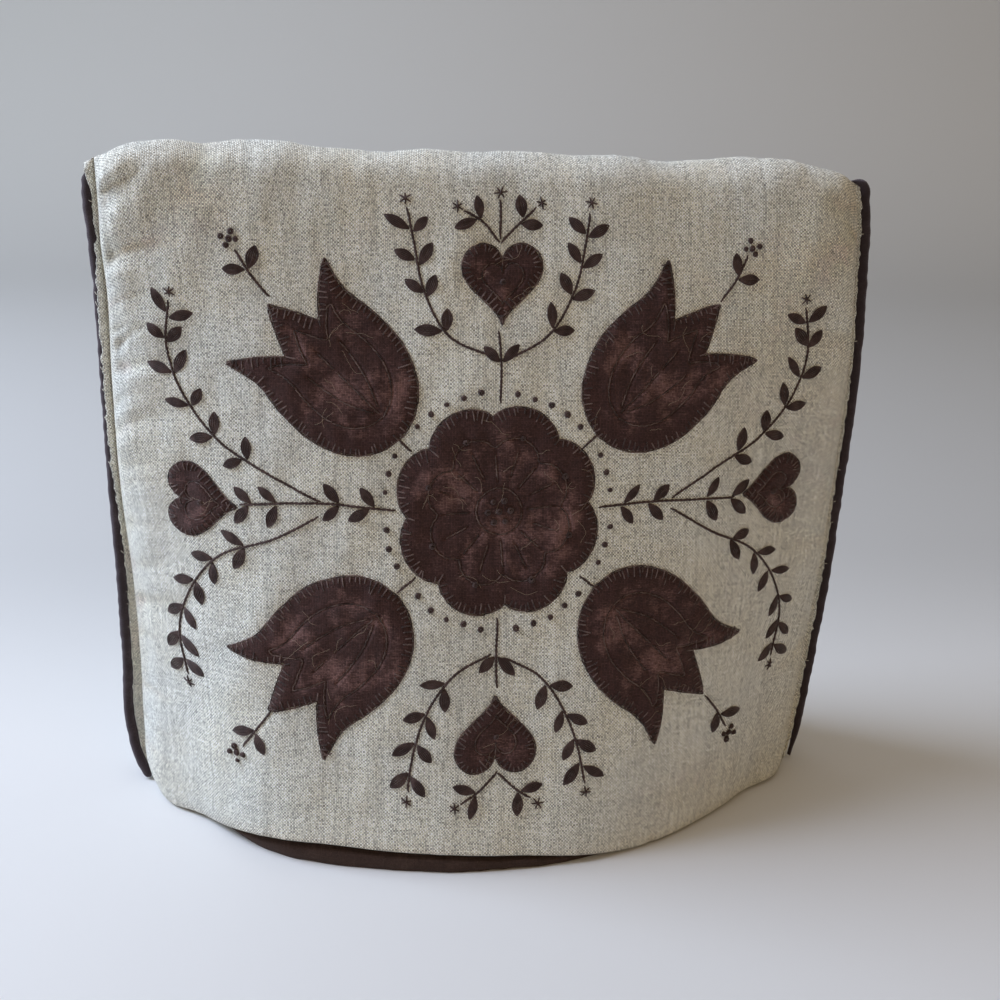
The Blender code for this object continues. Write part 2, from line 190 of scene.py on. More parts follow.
RIDGE = table(
    RidgeRow,
    (-1.00, 0.2822), (-0.96, 0.2856), (-0.91, 0.2890), (-0.84, 0.2906), (-0.70, 0.2898),
    (-0.30, 0.2884), (0.10, 0.2874), (0.45, 0.2872), (0.68, 0.2868), (0.80, 0.2863),
    (0.89, 0.2852), (0.955, 0.2827), (1.00, 0.2794),
)
FOOT = table(
    FootRow,
    (-1.00, 0.000, 0.0006), (-0.94, 0.182, 0.0010), (-0.86, 0.357, 0.0017), (-0.78, 0.528, 0.0032),
    (-0.71, 0.660, 0.0058), (-0.62, 0.788, 0.0080), (-0.52, 0.874, 0.0091), (-0.45, 0.912, 0.0092),
    (-0.32, 0.965, 0.0084), (-0.20, 0.999, 0.0077), (0.00, 1.013, 0.0063), (0.12, 0.992, 0.0048),
    (0.24, 0.964, 0.0030), (0.38, 0.890, 0.0010), (0.53, 0.775, 0.0009), (0.62, 0.660, 0.0009),
    (0.75, 0.465, 0.0009), (0.85, 0.290, 0.0010), (0.94, 0.125, 0.0014), (1.00, 0.000, 0.0016),
)
LINING_FOOT = table(
    LiningFootRow,
    (0.00, 0.6), (0.45, 1.0), (0.80, 0.7), (0.90, 0.0),
)
FOLDS = table(
    FoldRow,
    (-1, 0.262, 0.85, 0.0060, 0.0030, 0.034), (-1, 0.246, 0.25, 0.0075, 0.0024, 0.046),
    (-1, 0.206, 0.12, 0.0080, 0.0030, 0.052), (-1, 0.180, 0.05, 0.0070, 0.0020, 0.040),
    (-1, 0.094, -0.10, 0.0080, 0.0020, 0.040), (-1, 0.062, -0.15, 0.0080, 0.0018, 0.036),
    (1, 0.262, 0.70, 0.0065, 0.0024, 0.030), (1, 0.216, 0.10, 0.0090, 0.0012, 0.034),
    (1, 0.066, -0.20, 0.0085, 0.0018, 0.036),
)
# The left lip hides most of its piping at mid height; the right one only edges it
WRAPS = table(
    WrapRow,
    (0.000, 10, 22, 20), (0.025, 16, 34, 40), (0.060, 22, 40, 60), (0.095, 30, 40, 70),
    (0.128, 52, 34, 70), (0.150, 84, 34, 70), (0.172, 96, 36, 60), (0.215, 100, 32, 60),
    (0.228, 98, 26, 60), (0.242, 82, 26, 50), (0.262, 46, 36, 40), (0.2705, 58, 40, 50),
    (0.2745, 94, 44, 70), (0.278, 104, 48, 90), (0.282, 112, 50, 100),
)
PATCHES = table(
    PatchRow,
    ("rose", "rose", 0.000, 0.148, 0.086, 0.086, 4),
    ("tulip_1", "tulip", -0.067, 0.203, 0.058, 0.074, 47),
    ("tulip_2", "tulip", 0.068, 0.204, 0.058, 0.074, -45),
    ("tulip_3", "tulip", -0.069, 0.089, 0.058, 0.074, 134),
    ("tulip_4", "tulip", 0.067, 0.090, 0.058, 0.074, -135),
    ("heart_1", "heart", 0.001, 0.238, 0.033, 0.031, 0),
    ("heart_2", "heart", -0.001, 0.057, 0.034, 0.032, 180),
    ("heart_3", "heart", -0.122, 0.147, 0.031, 0.029, 88),
    ("heart_4", "heart", 0.123, 0.149, 0.031, 0.029, -91),
)
TULIP = table(
    TulipRow,
    (0.00, 0.00), (0.03, 0.16), (0.13, 0.33), (0.32, 0.45), (0.55, 0.47), (0.76, 0.44),
    (0.95, 0.50), (0.84, 0.30), (0.74, 0.17), (0.87, 0.09), (1.00, 0.00),
)


def eased(rows: tuple[NamedTuple, ...], column: str, at: Array) -> Array:
    """Smooth values of one column of a table.

    Args:
        rows: The table, ordered by its first column.
        column: Name of the column to read.
        at: Places along the first column.

    Returns:
        The column's values there, held constant beyond the table's ends.
    """
    keys = np.array([row[0] for row in rows])
    values = np.array([getattr(row, column) for row in rows])
    slopes = np.gradient(values, keys)
    at = np.clip(at, keys[0], keys[-1])
    k = np.clip(np.searchsorted(keys, at) - 1, 0, len(keys) - 2)
    span = keys[k + 1] - keys[k]
    return between(values, slopes, k, (at - keys[k]) / span, span)


def between(values: Array, slopes: Array, k: Array, t: Array, span: Array) -> Array:
    """Smooth values between numbered keys.

    Args:
        values: Values at the keys.
        slopes: How fast they change there.
        k: Number of the key before each place.
        t: Share of the way to the next key.
        span: Distance between the two keys.

    Returns:
        The values at the places.
    """
    start = (1 + 2 * t) * (1 - t) ** 2 * values[k] + t * (1 - t) ** 2 * span * slopes[k]
    end = t * t * (3 - 2 * t) * values[k + 1] - t * t * (1 - t) * span * slopes[k + 1]
    return start + end


def roll(distance: Array, width: float) -> Array:
    """Height of a round roll, from 0 at its foot to 1, at a distance in from its edge."""
    share = np.clip(distance / width, 0, 1)
    return np.sqrt(1 - (1 - share) ** 2)


def step(share: Array) -> Array:
    """Smooth step from 0 to 1."""
    share = np.clip(share, 0, 1)
    return share * share * (3 - 2 * share)


def bell(distance: Array, spread: float) -> Array:
    """Bell curve, 1 at no distance."""
    return np.exp(-((distance / spread) ** 2))


def unit(vectors: Array) -> Array:
    """The vectors, made one unit long."""
    return vectors / np.maximum(np.linalg.norm(vectors, axis=-1, keepdims=True), TINY)


def quarter_turn(ways: Array) -> Array:
    """Flat directions turned a quarter to the left."""
    return np.stack([-ways[..., 1], ways[..., 0]], -1)


def spokes(turn: Array, radius: Array = 1.0) -> Array:
    """Flat places at some angles round the origin."""
    return np.stack([radius * np.cos(turn), radius * np.sin(turn)], -1)


def run_along(points: Array, axis: int = 0) -> Array:
    """Distance run to each point, along lines of points that follow one axis."""
    run = np.cumsum(np.linalg.norm(np.diff(points, axis=axis), axis=-1), axis)
    return np.concatenate([np.zeros_like(run.take([0], axis)), run], axis)


def read_grid(grid: Array, row: Array, column: Array) -> Array:
    """Values of a grid, read between its points.

    Args:
        grid: The grid of numbers, or of vectors.
        row: Row of each place, with a fraction.
        column: Column of each place, with a fraction.

    Returns:
        The values at the places.
    """
    row = np.clip(row, 0, grid.shape[0] - LAST_CELL)
    column = np.clip(column, 0, grid.shape[1] - LAST_CELL)
    j, i = row.astype(int), column.astype(int)
    u, v = column - i, row - j
    if grid.ndim > 2:
        u, v = u[..., None], v[..., None]
    near = grid[j, i] * (1 - u) + grid[j, i + 1] * u
    far = grid[j + 1, i] * (1 - u) + grid[j + 1, i + 1] * u
    return near * (1 - v) + far * v


def smooth_line(places: Array, pitch: float, closed: bool = False) -> Array:
    """Smooth curve through some places, cut into even steps.

    Args:
        places: Places that the curve goes through, one row each.
        pitch: Distance between the points that are given back, before rounding.
        closed: Whether the curve comes back to its first place.

    Returns:
        Points along the curve. A closed curve doesn't repeat its first point.
    """
    places = np.asarray(places, float)
    if closed:
        places = np.concatenate([places[-2:], places, places[:3]])
    along = run_along(places)
    slopes = np.gradient(places, along, axis=0)
    first, last = (2, len(places) - 3) if closed else (0, len(places) - 1)
    dense = np.linspace(along[first], along[last], CURVE_STEPS * (last - first) + 1)
    k = np.clip(np.searchsorted(along, dense, side="right") - 1, 0, len(along) - 2)
    span = (along[k + 1] - along[k])[:, None]
    curve = between(places, slopes, k, (dense - along[k])[:, None] / span, span)
    return evenly(curve, pitch, closed)


def evenly(curve: Array, pitch: float, closed: bool = False) -> Array:
    """Points at even steps of about `pitch` along a dense curve."""
    run = run_along(curve)
    count = max(2, round(run[-1] / pitch))
    at = np.linspace(0, run[-1], count + 1)
    made = np.stack([np.interp(at, run, curve[:, n]) for n in range(curve.shape[1])], -1)
    return made[:-1] if closed else made


@dataclass(frozen=True)
class Form:
    """The cosy's built shape: the measures and curves of its closed frame."""

    half_width: float = 0.1685
    ridge_height: float = 0.2892
    front_depth: float = 0.0906
    back_depth: float = 0.0890
    pad_radius: float = 0.0115
    pad_thickness: float = 0.0090
    edge_roll: float = 0.0120
    strip_half: float = 0.0011
    hem_thickness: float = 0.0032
    hem_taper: float = 0.026
    seam_blend: float = 0.12
    back_fullness: float = 1.55
    back_lift: float = 0.0012
    gap: float = 0.0003
    lining_thickness: float = 0.0015
    lining_kick: float = 0.0034
    kick_from: float = 0.0018
    kick_to: float = 0.0050
    piping_width: float = 0.0046
    piping_depth: float = 0.0050
    left_piping_drop: float = 0.0048
    right_piping_drop: float = 0.0034
    forward_from: float = 0.80
    fold_start: float = 0.0060
    fold_thinnest: float = 0.0040
    fold_thicker: float = 0.0080

    def panel_edges(self, height: Array) -> tuple[Array, Array]:
        """Left and right edges of the padded panel at a height."""
        cord = self.piping_width + self.gap
        left = cord + eased(SEAMS, "left_strip", height) - eased(SEAMS, "left", height)
        right = eased(SEAMS, "right", height) - cord - eased(SEAMS, "right_strip", height)
        return left, right

    def forward(self, across: Array, height: Array) -> Array:
        """How far the cloth beside a seam comes forward with it, near the table."""
        share = step((np.abs(across) - self.forward_from) / (1 - self.forward_from))
        return eased(SEAMS, "forward", height) * share

    def panel_x(self, across: Array, height: Array, inset: float = 0.0) -> Array:
        """X of a place across the panel, -1 to 1, for a surface `inset` inside the cover."""
        left, right = self.panel_edges(height)
        return (left + right) / 2 + across * ((right - left) / 2 - inset)

    def across_of(self, x: Array, height: Array) -> Array:
        """Place across the panel of a point of the cover's outside."""
        left, right = self.panel_edges(height)
        return np.clip((x - (left + right) / 2) / ((right - left) / 2), -1, 1)

    def hem_relief(self, height: Array) -> Array:
        """How much thinner the padding is at a height than over the rest of the panel."""
        full = self.pad_thickness - self.hem_thickness
        return full * (1 - step(height / self.hem_taper))

    def swell(self, across: Array, face: Face) -> Array:
        """Plan curve of the front or back foot: 0 at the seams, 1 at the fullest."""
        if face is Face.FRONT:
            return eased(FOOT, "swell", across)
        return (1 - np.abs(across) ** self.back_fullness) ** (1 / self.back_fullness)

    def fold_depth(self, across: Array, height: Array) -> Array:
        """How far the soft folds beside the seams sink into the front."""
        half = self.half_width - self.piping_width
        sunk = np.zeros_like(across + height)
        for row in FOLDS:
            from_seam = half * (1 - across * row.side)
            line = row.height + row.slope * from_seam
            fade = step(from_seam / self.fold_start) * (1 - step(from_seam / row.reach))
            sunk = sunk + row.depth * bell(height - line, row.spread) * fade
        return sunk

    def half_depth(self, across: Array, height: Array, inset: float, face: Face) -> Array:
        """Half of the cosy's thickness at a place.

        Args:
            across: Places across the panel, -1 to 1.
            height: Heights of the places.
            inset: How far inside the cover's outside the surface lies.
            face: Front or back.

        Returns:
            Distance of the surface from the plane of the seams.
        """
        ridge = eased(RIDGE, "height", across)
        inset_here = inset - self.hem_relief(height) if inset else inset
        radius = self.pad_radius - inset_here
        from_edge = (1 - np.abs(across)) * (self.half_width - inset)
        edge = roll(from_edge, self.edge_roll - inset_here)
        if not inset:
            edge = self.strip_half / radius + (1 - self.strip_half / radius) * edge
        below = np.maximum(ridge - height, 0)
        fullest = (self.front_depth if face is Face.FRONT else self.back_depth) - self.pad_radius
        bow = fullest * below / self.ridge_height * self.swell(across, face)
        depth = (radius * edge + bow) * roll(ridge - inset - height, self.pad_radius - inset)
        if face is Face.FRONT and not inset:
            room = step((depth - self.fold_thinnest) / self.fold_thicker)
            depth = depth - self.fold_depth(across, height) * room
        return depth

    def surface(self, across: Array, heights: Array, inset: float, face: Face) -> Array:
        """Points of one side of a surface that lies `inset` inside the cover's outside."""
        inwards = np.maximum(inset - self.hem_relief(heights), 0) if inset else 0.0
        x = self.panel_x(across, heights, inwards)
        y = face.value * self.half_depth(across, heights, inset, face)
        return np.stack([x, y - self.forward(across, heights), heights + 0 * x], -1)

    def hem_lift(self, across: Array, face: Face) -> Array:
        """Height of the cover's hem above the table, the same for both faces at the seams."""
        front = face is Face.FRONT
        lift = eased(FOOT, "lift", across) if front else self.back_lift + 0 * across
        seam_lift = np.where(across < 0, FOOT[0].lift, FOOT[-1].lift)
        blend = step((1 - np.abs(across)) / self.seam_blend)
        return lift * blend + seam_lift * (1 - blend)

    def seam_out(self, side: Side, height: Array) -> Array:
        """X of the middle of a piping at a height."""
        column = "left" if side is Side.LEFT else "right"
        return side.value * (eased(SEAMS, column, height) - self.piping_width / 2)


class CreaseRow(NamedTuple):
    """Soft trough, or ridge where its depth is negative: its line in mm, depth and spread."""

    places: tuple[Pair, ...]
    depth: float
    spread: float


class StainRow(NamedTuple):
    """Worn or soiled place on the front: its middle and reach in mm, and how strong it is."""

    x: float
    z: float
    across: float
    up: float
    strength: float


# Creases of the front: down the left seam first, then the fold, the right seam and the hem
CREASES = table(
    CreaseRow,
    (((-160.5, 267.6), (-154.5, 273.0), (-143.5, 278.2)), 2.1, 1.1),
    (((-160, 272.5), (-156.8, 276.2), (-151, 278.6)), -0.7, 1.6),
    (((-161, 240), (-153, 246), (-144, 250), (-129, 252)), 1.7, 2.4),
    (((-160, 233.5), (-152.5, 238.6), (-142, 241)), -0.9, 2.2),
    (((-160, 223), (-152, 228), (-142, 231)), 0.9, 1.5),
    (((-160, 212), (-153, 216), (-143, 217)), 0.9, 1.5),
    (((-161, 206), (-153, 214), (-147, 219)), -0.8, 1.5),
    (((-156, 208), (-150, 214), (-143, 218)), 1.0, 1.5),
    (((-160, 198), (-155, 204), (-148, 211)), -0.8, 1.5),
    (((-157, 197), (-149, 200.5), (-131, 204)), 1.7, 3.0),
    (((-161, 190), (-153, 195), (-143, 198)), -0.8, 2.4),
    (((-162, 179), (-155, 186), (-146, 191)), 0.9, 1.5),
    (((-160, 174), (-152, 181), (-139, 189)), -0.9, 2.4),
    (((-161, 169), (-152, 176), (-141, 182)), 1.2, 2.0),
    (((-159, 161), (-152, 168), (-142, 174)), -0.8, 2.4),
    (((-159, 155), (-151, 158), (-138, 161)), 1.1, 2.8),
    (((-158, 147), (-150, 151), (-139, 154)), 0.7, 2.0),
    (((-158, 128), (-150, 131), (-138, 133)), 0.8, 3.0),
    (((-158, 108), (-150, 112), (-138, 116)), 0.8, 2.2),
    (((-158, 90), (-148, 95), (-132, 100)), 1.3, 3.2),
    (((-159, 74), (-152, 77), (-144, 79)), 1.0, 1.8),
    (((-158, 60), (-151, 62), (-143, 63)), -0.6, 2.4),
    (((-158, 49), (-151, 50.5), (-141, 51)), 1.1, 1.7),
    (((-158, 42), (-152, 43), (-143, 43)), -0.7, 2.6),
    (((-158, 33), (-151, 33), (-142, 34)), 0.8, 1.8),
    (((-157, 20), (-150, 22), (-140, 21)), 0.7, 2.4),
    (((-118, 289), (-120, 281), (-125, 270)), 1.1, 4.6),
    (((-60, 289), (-63, 281), (-61, 270)), 0.5, 6.0),
    (((28, 289), (25, 282), (27, 272)), 0.6, 7.0),
    (((92, 289), (95, 281), (92, 271)), 0.6, 5.0),
    (((161, 250), (157, 256), (149, 264)), 1.3, 1.7),
    (((160, 268), (152, 270), (143, 274)), 0.9, 2.0),
    (((161, 214), (153, 216), (142, 219)), 0.7, 3.2),
    (((161, 176), (155, 177), (146, 180)), 0.5, 2.6),
    (((160, 118), (152, 121), (140, 124)), 0.6, 3.4),
    (((158, 66), (151, 63), (139, 59)), 0.8, 3.2),
    (((157, 26), (151, 24), (143, 24)), 0.7, 1.8),
    (((70, 0), (70, 4), (71, 9)), 0.7, 1.6),
    (((-96, 3), (-94, 9), (-95, 17)), 0.4, 3.0),
    (((-30, 5), (-31, 12), (-29, 22)), 0.35, 4.0),
)
STAINS = table(
    StainRow,
    (-121, 270, 14, 15, 0.30), (-134, 262, 12, 9, 0.16), (-60, 262, 34, 12, 0.10),
    (-148, 251, 14, 6, 0.14), (145, 273, 13, 7, 0.28), (151, 258, 8, 13, 0.34),
    (138, 246, 14, 12, 0.20), (120, 225, 36, 40, 0.20), (140, 160, 26, 40, 0.12),
    (92, 106, 22, 20, 0.10), (94, 23, 20, 10, 0.22), (66, 19, 14, 9, 0.10),
    (128, 38, 14, 16, 0.06),
)


@dataclass(frozen=True)
class Waves:
    """Uneven waves: a sum of plane waves of seeded lengths and directions."""

    height: float
    shortest: float
    longest: float
    seed: int
    count: int = 14

    def at(self, x: Array, z: Array) -> Array:
        """Height of the waves at some places."""
        random = np.random.default_rng(self.seed)
        total = np.zeros(np.broadcast(x, z).shape)
        for _ in range(self.count):
            length = self.shortest * (self.longest / self.shortest) ** random.random()
            turn, phase = random.uniform(0, 2 * math.pi, 2)
            run = x * math.cos(turn) + z * math.sin(turn)
            total = total + np.cos(2 * math.pi * run / length + phase)
        return total * self.height / math.sqrt(self.count)


class DentMap:
    """Dents pressed into cloth, kept as a fine grid over the front's elevation."""

    width, height = 0.34, 0.292
    reach = 2.2

    def __init__(self, cell: float) -> None:
        """Starts with no dents.

        Args:
            cell: Size of the grid's squares.
        """
        self.cell = cell
        self.low = np.array([-self.width / 2, 0.0])
        self.depth = np.zeros((round(self.width / cell), round(self.height / cell)))

    def press(self, line: Array, depth: float, spread: float) -> None:
        """Presses a rounded trough along the points of a line of the elevation."""
        reach = int(self.reach * spread / self.cell) + 1
        for place in line:
            middle = (place - self.low) / self.cell
            i, k = (int(round(n)) for n in middle)
            i0, i1 = max(i - reach, 0), min(i + reach + 1, self.depth.shape[0])
            k0, k1 = max(k - reach, 0), min(k + reach + 1, self.depth.shape[1])
            if i0 >= i1 or k0 >= k1:
                continue
            gi = (np.arange(i0, i1) - middle[0])[:, None] * self.cell
            gk = (np.arange(k0, k1) - middle[1])[None, :] * self.cell
            window = self.depth[i0:i1, k0:k1]
            np.maximum(window, depth * bell(np.hypot(gi, gk), spread), out=window)

    def at(self, x: Array, z: Array) -> Array:
        """Depth of the dents at some places."""
        across, up = (x - self.low[0]) / self.cell, (z - self.low[1]) / self.cell
        return read_grid(self.depth.T, up, across)


@dataclass(frozen=True)
class Relief:
    """Everything that makes a side of the cover uneven: waves, creases and dents."""

    face: Face
    dents: DentMap
    broad: Waves = Waves(0.00110, 0.060, 0.140, 11)
    middling: Waves = Waves(0.00042, 0.020, 0.045, 12)
    fine: Waves = Waves(0.00010, 0.006, 0.013, 13)
    edge_fade: float = 0.0045
    ridge_fade: float = 0.0050
    hem_fade: float = 0.022
    hem_share: float = 0.35
    crease_pitch: float = 0.6 * MM
    crease_reach: float = 4.0
    crease_thins: Pair = (0.75, 1.4)
    crease_start: Pair = (0.45, 0.12)

    def shift(self, across: Array, base: Array, run: Array, form: Form) -> Array:
        """How far the cloth stands out from its plain form.

        Args:
            across: Places across the panel, -1 to 1.
            base: Points of the plain form.
            run: Distance of each point from the fold over the top, less than 0 in front.
            form: The cosy's form.

        Returns:
            Distance along the normal for each point.
        """
        x, z = base[..., 0], base[..., 2]
        waves = self.broad.at(x, run) + self.middling.at(x, run) + self.fine.at(x, run)
        near_hem = step((z - form.hem_lift(across, self.face)) / self.hem_fade)
        waves = waves * (self.hem_share + (1 - self.hem_share) * near_hem)
        if self.face is Face.FRONT:
            placed = self.creased(x, z) + self.dents.at(x, z)
            waves = waves - placed * step(np.abs(run) / self.ridge_fade)
        from_seam = (1 - np.abs(across)) * form.half_width
        return waves * step(from_seam / self.edge_fade)

    @classmethod
    def creased(cls, x: Array, z: Array) -> Array:
        """Depth of the placed creases at some places of the elevation."""
        total = np.zeros(x.shape)
        thins, power = cls.crease_thins
        least, start = cls.crease_start
        for row in CREASES:
            line = smooth_line(np.array(row.places) * MM, cls.crease_pitch)
            far = cls.crease_reach * row.spread * MM
            near = (np.abs(x - line[:, 0].mean()) < far + np.ptp(line[:, 0]) / 2) & (
                np.abs(z - line[:, 1].mean()) < far + np.ptp(line[:, 1]) / 2
            )
            away = np.hypot(x[near][:, None] - line[:, 0], z[near][:, None] - line[:, 1])
            nearest = away.argmin(1)
            share = nearest / (len(line) - 1)
            strength = (1 - thins * share**power) * (least + (1 - least) * step(share / start))
            total[near] += row.depth * MM * strength * bell(away.min(1), row.spread * MM)
        return total


class Skin:
    """One side of the cover's outside: a fine grid that other pieces are laid on."""

    def __init__(
        self, form: Form, face: Face, across: Array, grid: "CoverGrid", relief: Relief
    ) -> None:
        """Works out the grid's points and normals.

        Args:
            form: The cosy's form.
            face: Front or back.
            across: Place across the panel of each column, -1 to 1.
            grid: How finely the cover is divided.
            relief: What makes this side uneven.
        """
        self.form, self.face, self.across, self.grid = form, face, across, grid
        self.foot = form.hem_lift(across, face) + grid.hem_round
        self.ridge = eased(RIDGE, "height", across)
        turn = np.linspace(0, math.pi / 2, grid.roll_rows + 1)[:, None]
        roll_heights = self.ridge - form.pad_radius * (1 - np.cos(turn))
        down = np.linspace(0, 1, grid.down_rows + 1)[1:, None]
        straight = roll_heights[-1] + (self.foot - roll_heights[-1]) * down
        self.heights = np.concatenate([roll_heights, straight])
        base = form.surface(across[None, :], self.heights, 0.0, face)
        self.run = run_along(base)
        shift = relief.shift(across[None, :], base, face.value * self.run, form)
        self.points = base + self.outward(base) * shift[..., None]
        self.normals = self.outward(self.points)

    def outward(self, points: Array) -> Array:
        """Normals of a grid of points, pointing out of the cosy."""
        sideways = np.gradient(points, axis=1)
        down = np.gradient(points, axis=0)
        down[0] = (0, self.face.value, 0)
        return unit(np.cross(down, sideways) * -self.face.value)

    def row_of(self, across: Array, height: Array) -> Array:
        """Fractional row number of a place on the plain form."""
        radius = self.form.pad_radius
        drop = np.interp(across, self.across, self.ridge) - height
        turned = np.arccos(np.clip(1 - drop / radius, 0, 1)) * 2 / math.pi
        full = np.interp(across, self.across, self.ridge - radius - self.foot)
        down = (drop - radius) / full * self.grid.down_rows
        return np.where(drop < radius, turned * self.grid.roll_rows, self.grid.roll_rows + down)

    def sample(self, values: Array, across: Array, height: Array) -> Array:
        """Values of the grid, read between its points."""
        column = np.interp(across, self.across, np.arange(len(self.across)))
        return read_grid(values, self.row_of(across, height), column)

    def at(self, places: Array) -> tuple[Array, Array]:
        """Points and normals over some places of the elevation.

        Args:
            places: X and height of each place, in the last axis.

        Returns:
            The points on the skin, and the normals there.
        """
        x, z = places[..., 0], places[..., 1]
        across, height = self.form.across_of(x, z), z.copy()
        for _ in range(4):
            here = self.sample(self.points, across, height)
            across = np.clip(across + (x - here[..., 0]) / self.form.half_width, -1, 1)
            height = height + (z - here[..., 2])
        normals = unit(self.sample(self.normals, across, height))
        return self.sample(self.points, across, height), normals


def make_mesh(name: str, points: Array, faces: list, uv: Array, material: Material) -> Piece:
    """Makes a smooth mesh piece that rides on the frame.

    Args:
        name: Name of the piece.
        points: Its points, one row each.
        faces: Point numbers of each face.
        uv: Place on the cloth, in metres, of each point, or of each corner of each face.
        material: Its material.

    Returns:
        The new object.
    """
    mesh = bpy.data.meshes.new(name)
    mesh.from_pydata(np.asarray(points).tolist(), [], faces)
    mesh.shade_smooth()
    layer = mesh.uv_layers.new(name=CLOTH_MAP)
    if len(uv) == len(mesh.vertices) != len(mesh.loops):
        corners = np.zeros(len(mesh.loops), int)
        mesh.loops.foreach_get("vertex_index", corners)
        uv = uv[corners]
    layer.data.foreach_set("uv", np.asarray(uv, np.float32).ravel())
    mesh.materials.append(material)
    made = bpy.data.objects.new(name, mesh)
    bpy.context.scene.collection.objects.link(made)
    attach(made, BODY)
    LOG.info("%s: %d points, %d faces", name, len(mesh.vertices), len(mesh.polygons))
    return made


def set_values(made: Piece, name: str, values: Array) -> None:
    """Stores a value for each point of a piece, for its material."""
    attribute = made.data.attributes.new(name, "FLOAT", "POINT")
    attribute.data.foreach_set("value", np.asarray(values, np.float32))


def strip_faces(numbers: Array, outward: bool = True) -> list:
    """Four-sided faces of a grid of point numbers, rows down and columns towards +X."""
    a, b = numbers[:-1, :-1], numbers[1:, :-1]
    c, d = numbers[1:, 1:], numbers[:-1, 1:]
    order = (a, b, c, d) if outward else (d, c, b, a)
    return np.stack(order, -1).reshape(-1, 4).tolist()


def ring_faces(first: Array, second: Array, outward: bool = True) -> list:
    """Four-sided faces between closed loops of point numbers and the loops beside them."""
    turned = np.roll(first, -1, -1), np.roll(second, -1, -1)
    order = (first, second, *turned[::-1]) if outward else (first, *turned, second)
    return np.stack(order, -1).reshape(-1, 4).tolist()


@dataclass(frozen=True)
class CoverGrid:
    """How finely the cover is divided."""

    seam_columns: int = 12
    roll_columns: int = 14
    panel_columns: int = 210
    roll_rows: int = 16
    down_rows: int = 201
    back_stride: int = 3
    inner_rows: int = 9
    rim_rows: int = 4
    hem_round: float = 0.0010
    inner_shrink: float = 0.02


@dataclass(frozen=True)
class Lip:
    """Raw edge of the cloth that lies round the piping, and the sewn valley beside it."""

    clearance: float = 0.00015
    thickness: float = 0.00055
    least_wrap: float = math.radians(12)
    foot_turn: float = math.radians(30)
    foot_share: float = 0.5
    inner_turns: tuple[float, ...] = (0.0, 0.25, 0.5, 0.75, 0.95)
    outer_turns: tuple[float, ...] = (1.0, 0.5, 0.0)
    valley_turns: tuple[float, ...] = (0.25, 0.5, 0.75)
    valley_depth: float = 0.00020
    valley_floor: float = 0.0003
    collapse: float = 0.0060
    inner_drop: float = 0.0006
    corner_slope: float = 0.58
    corner_reach: float = 0.0075
    jag: Waves = Waves(math.radians(9), 0.0022, 0.0080, 31)
    # Marks on the lip's columns, from the shared edge to the panel: a little tan soil, and mostly
    # painted shade in the valley beside the lip
    marks: tuple[float, ...] = (
        0.06, 0.06, 0.06, 0.04, 0.02, 0.0, 0.02, 0.08, 0.16, 0.22, 0.25, 0.22,
    )
    # Soil and painted shade that fade from the seams onto the panel's rolled edge
    edge_soil_and_shade: float = 0.22
    edge_mark_reach: float = 0.0020
    marks_fade_from: float = 0.2740
    clean_over: float = 0.0050
    right_share: float = 0.62
    # Painted shade along the placed creases, full where they are crease_full deep
    crease_painted_shade: float = 0.28
    crease_full: float = 1.4 * MM
    hem_darkening: float = 0.16
    hem_reach: float = 0.0022
    inside_soil: float = 0.2

    def columns(self, form: Form, side: Side, face: Face, edge: Array) -> Array:
        """Columns of points from the edge that front and back share to the panel.

        Args:
            form: The cosy's form.
            side: Left or right seam.
            face: Front or back.
            edge: Points of the panel's edge, from the top down.

        Returns:
            A row of points for each point of the panel's edge.
        """
        z = edge[:, 2]
        middle_x, middle_y = form.seam_out(side, z), -form.forward(1.0, z)
        column = "back" if face is Face.BACK else f"{side.name.lower()}_front"
        wrap = np.radians(eased(WRAPS, column, z)) + self.jag.at(z, 0 * z + side.value)
        wrap = np.maximum(wrap, self.least_wrap)
        reach_x = form.piping_width / 2 + self.clearance
        reach_y = form.piping_depth / 2 + self.clearance

        def around(turn: Array, extra: float) -> Array:
            """Points round the piping, starting at its inner side."""
            x = middle_x - side.value * (reach_x + extra) * np.cos(turn)
            y = middle_y + face.value * (reach_y + extra) * np.sin(turn)
            return np.stack([x, y, z], -1)

        foot = np.minimum(self.foot_share * wrap, self.foot_turn)
        last = self.inner_turns[-1]
        made = [around(share * wrap, 0.0) for share in self.inner_turns]
        made.append(around(wrap, self.thickness / 2))
        for share in self.outer_turns:
            made.append(around(foot + (last * wrap - foot) * share, self.thickness))
        base = made[-1]
        for share in self.valley_turns:
            point = base + (edge - base) * share
            off = (point[:, 1] - middle_y) * face.value
            off = np.maximum(off - self.valley_depth * math.sin(math.pi * share), self.valley_floor)
            point[:, 1] = middle_y + face.value * off
            made.append(point)
        made = np.stack(made, 1)
        below = (edge[0, 2] - z)[:, None]
        kept = roll(below, self.collapse)
        made[..., 1] = middle_y[:, None] + (made[..., 1] - middle_y[:, None]) * kept
        out = np.maximum((made[..., 0] - edge[:, None, 0]) * side.value, 0)
        made[..., 2] -= self.corner_slope * out * (1 - step(below / self.corner_reach))
        made[:, : len(self.inner_turns), 2] -= self.inner_drop * (1 - kept)
        return made


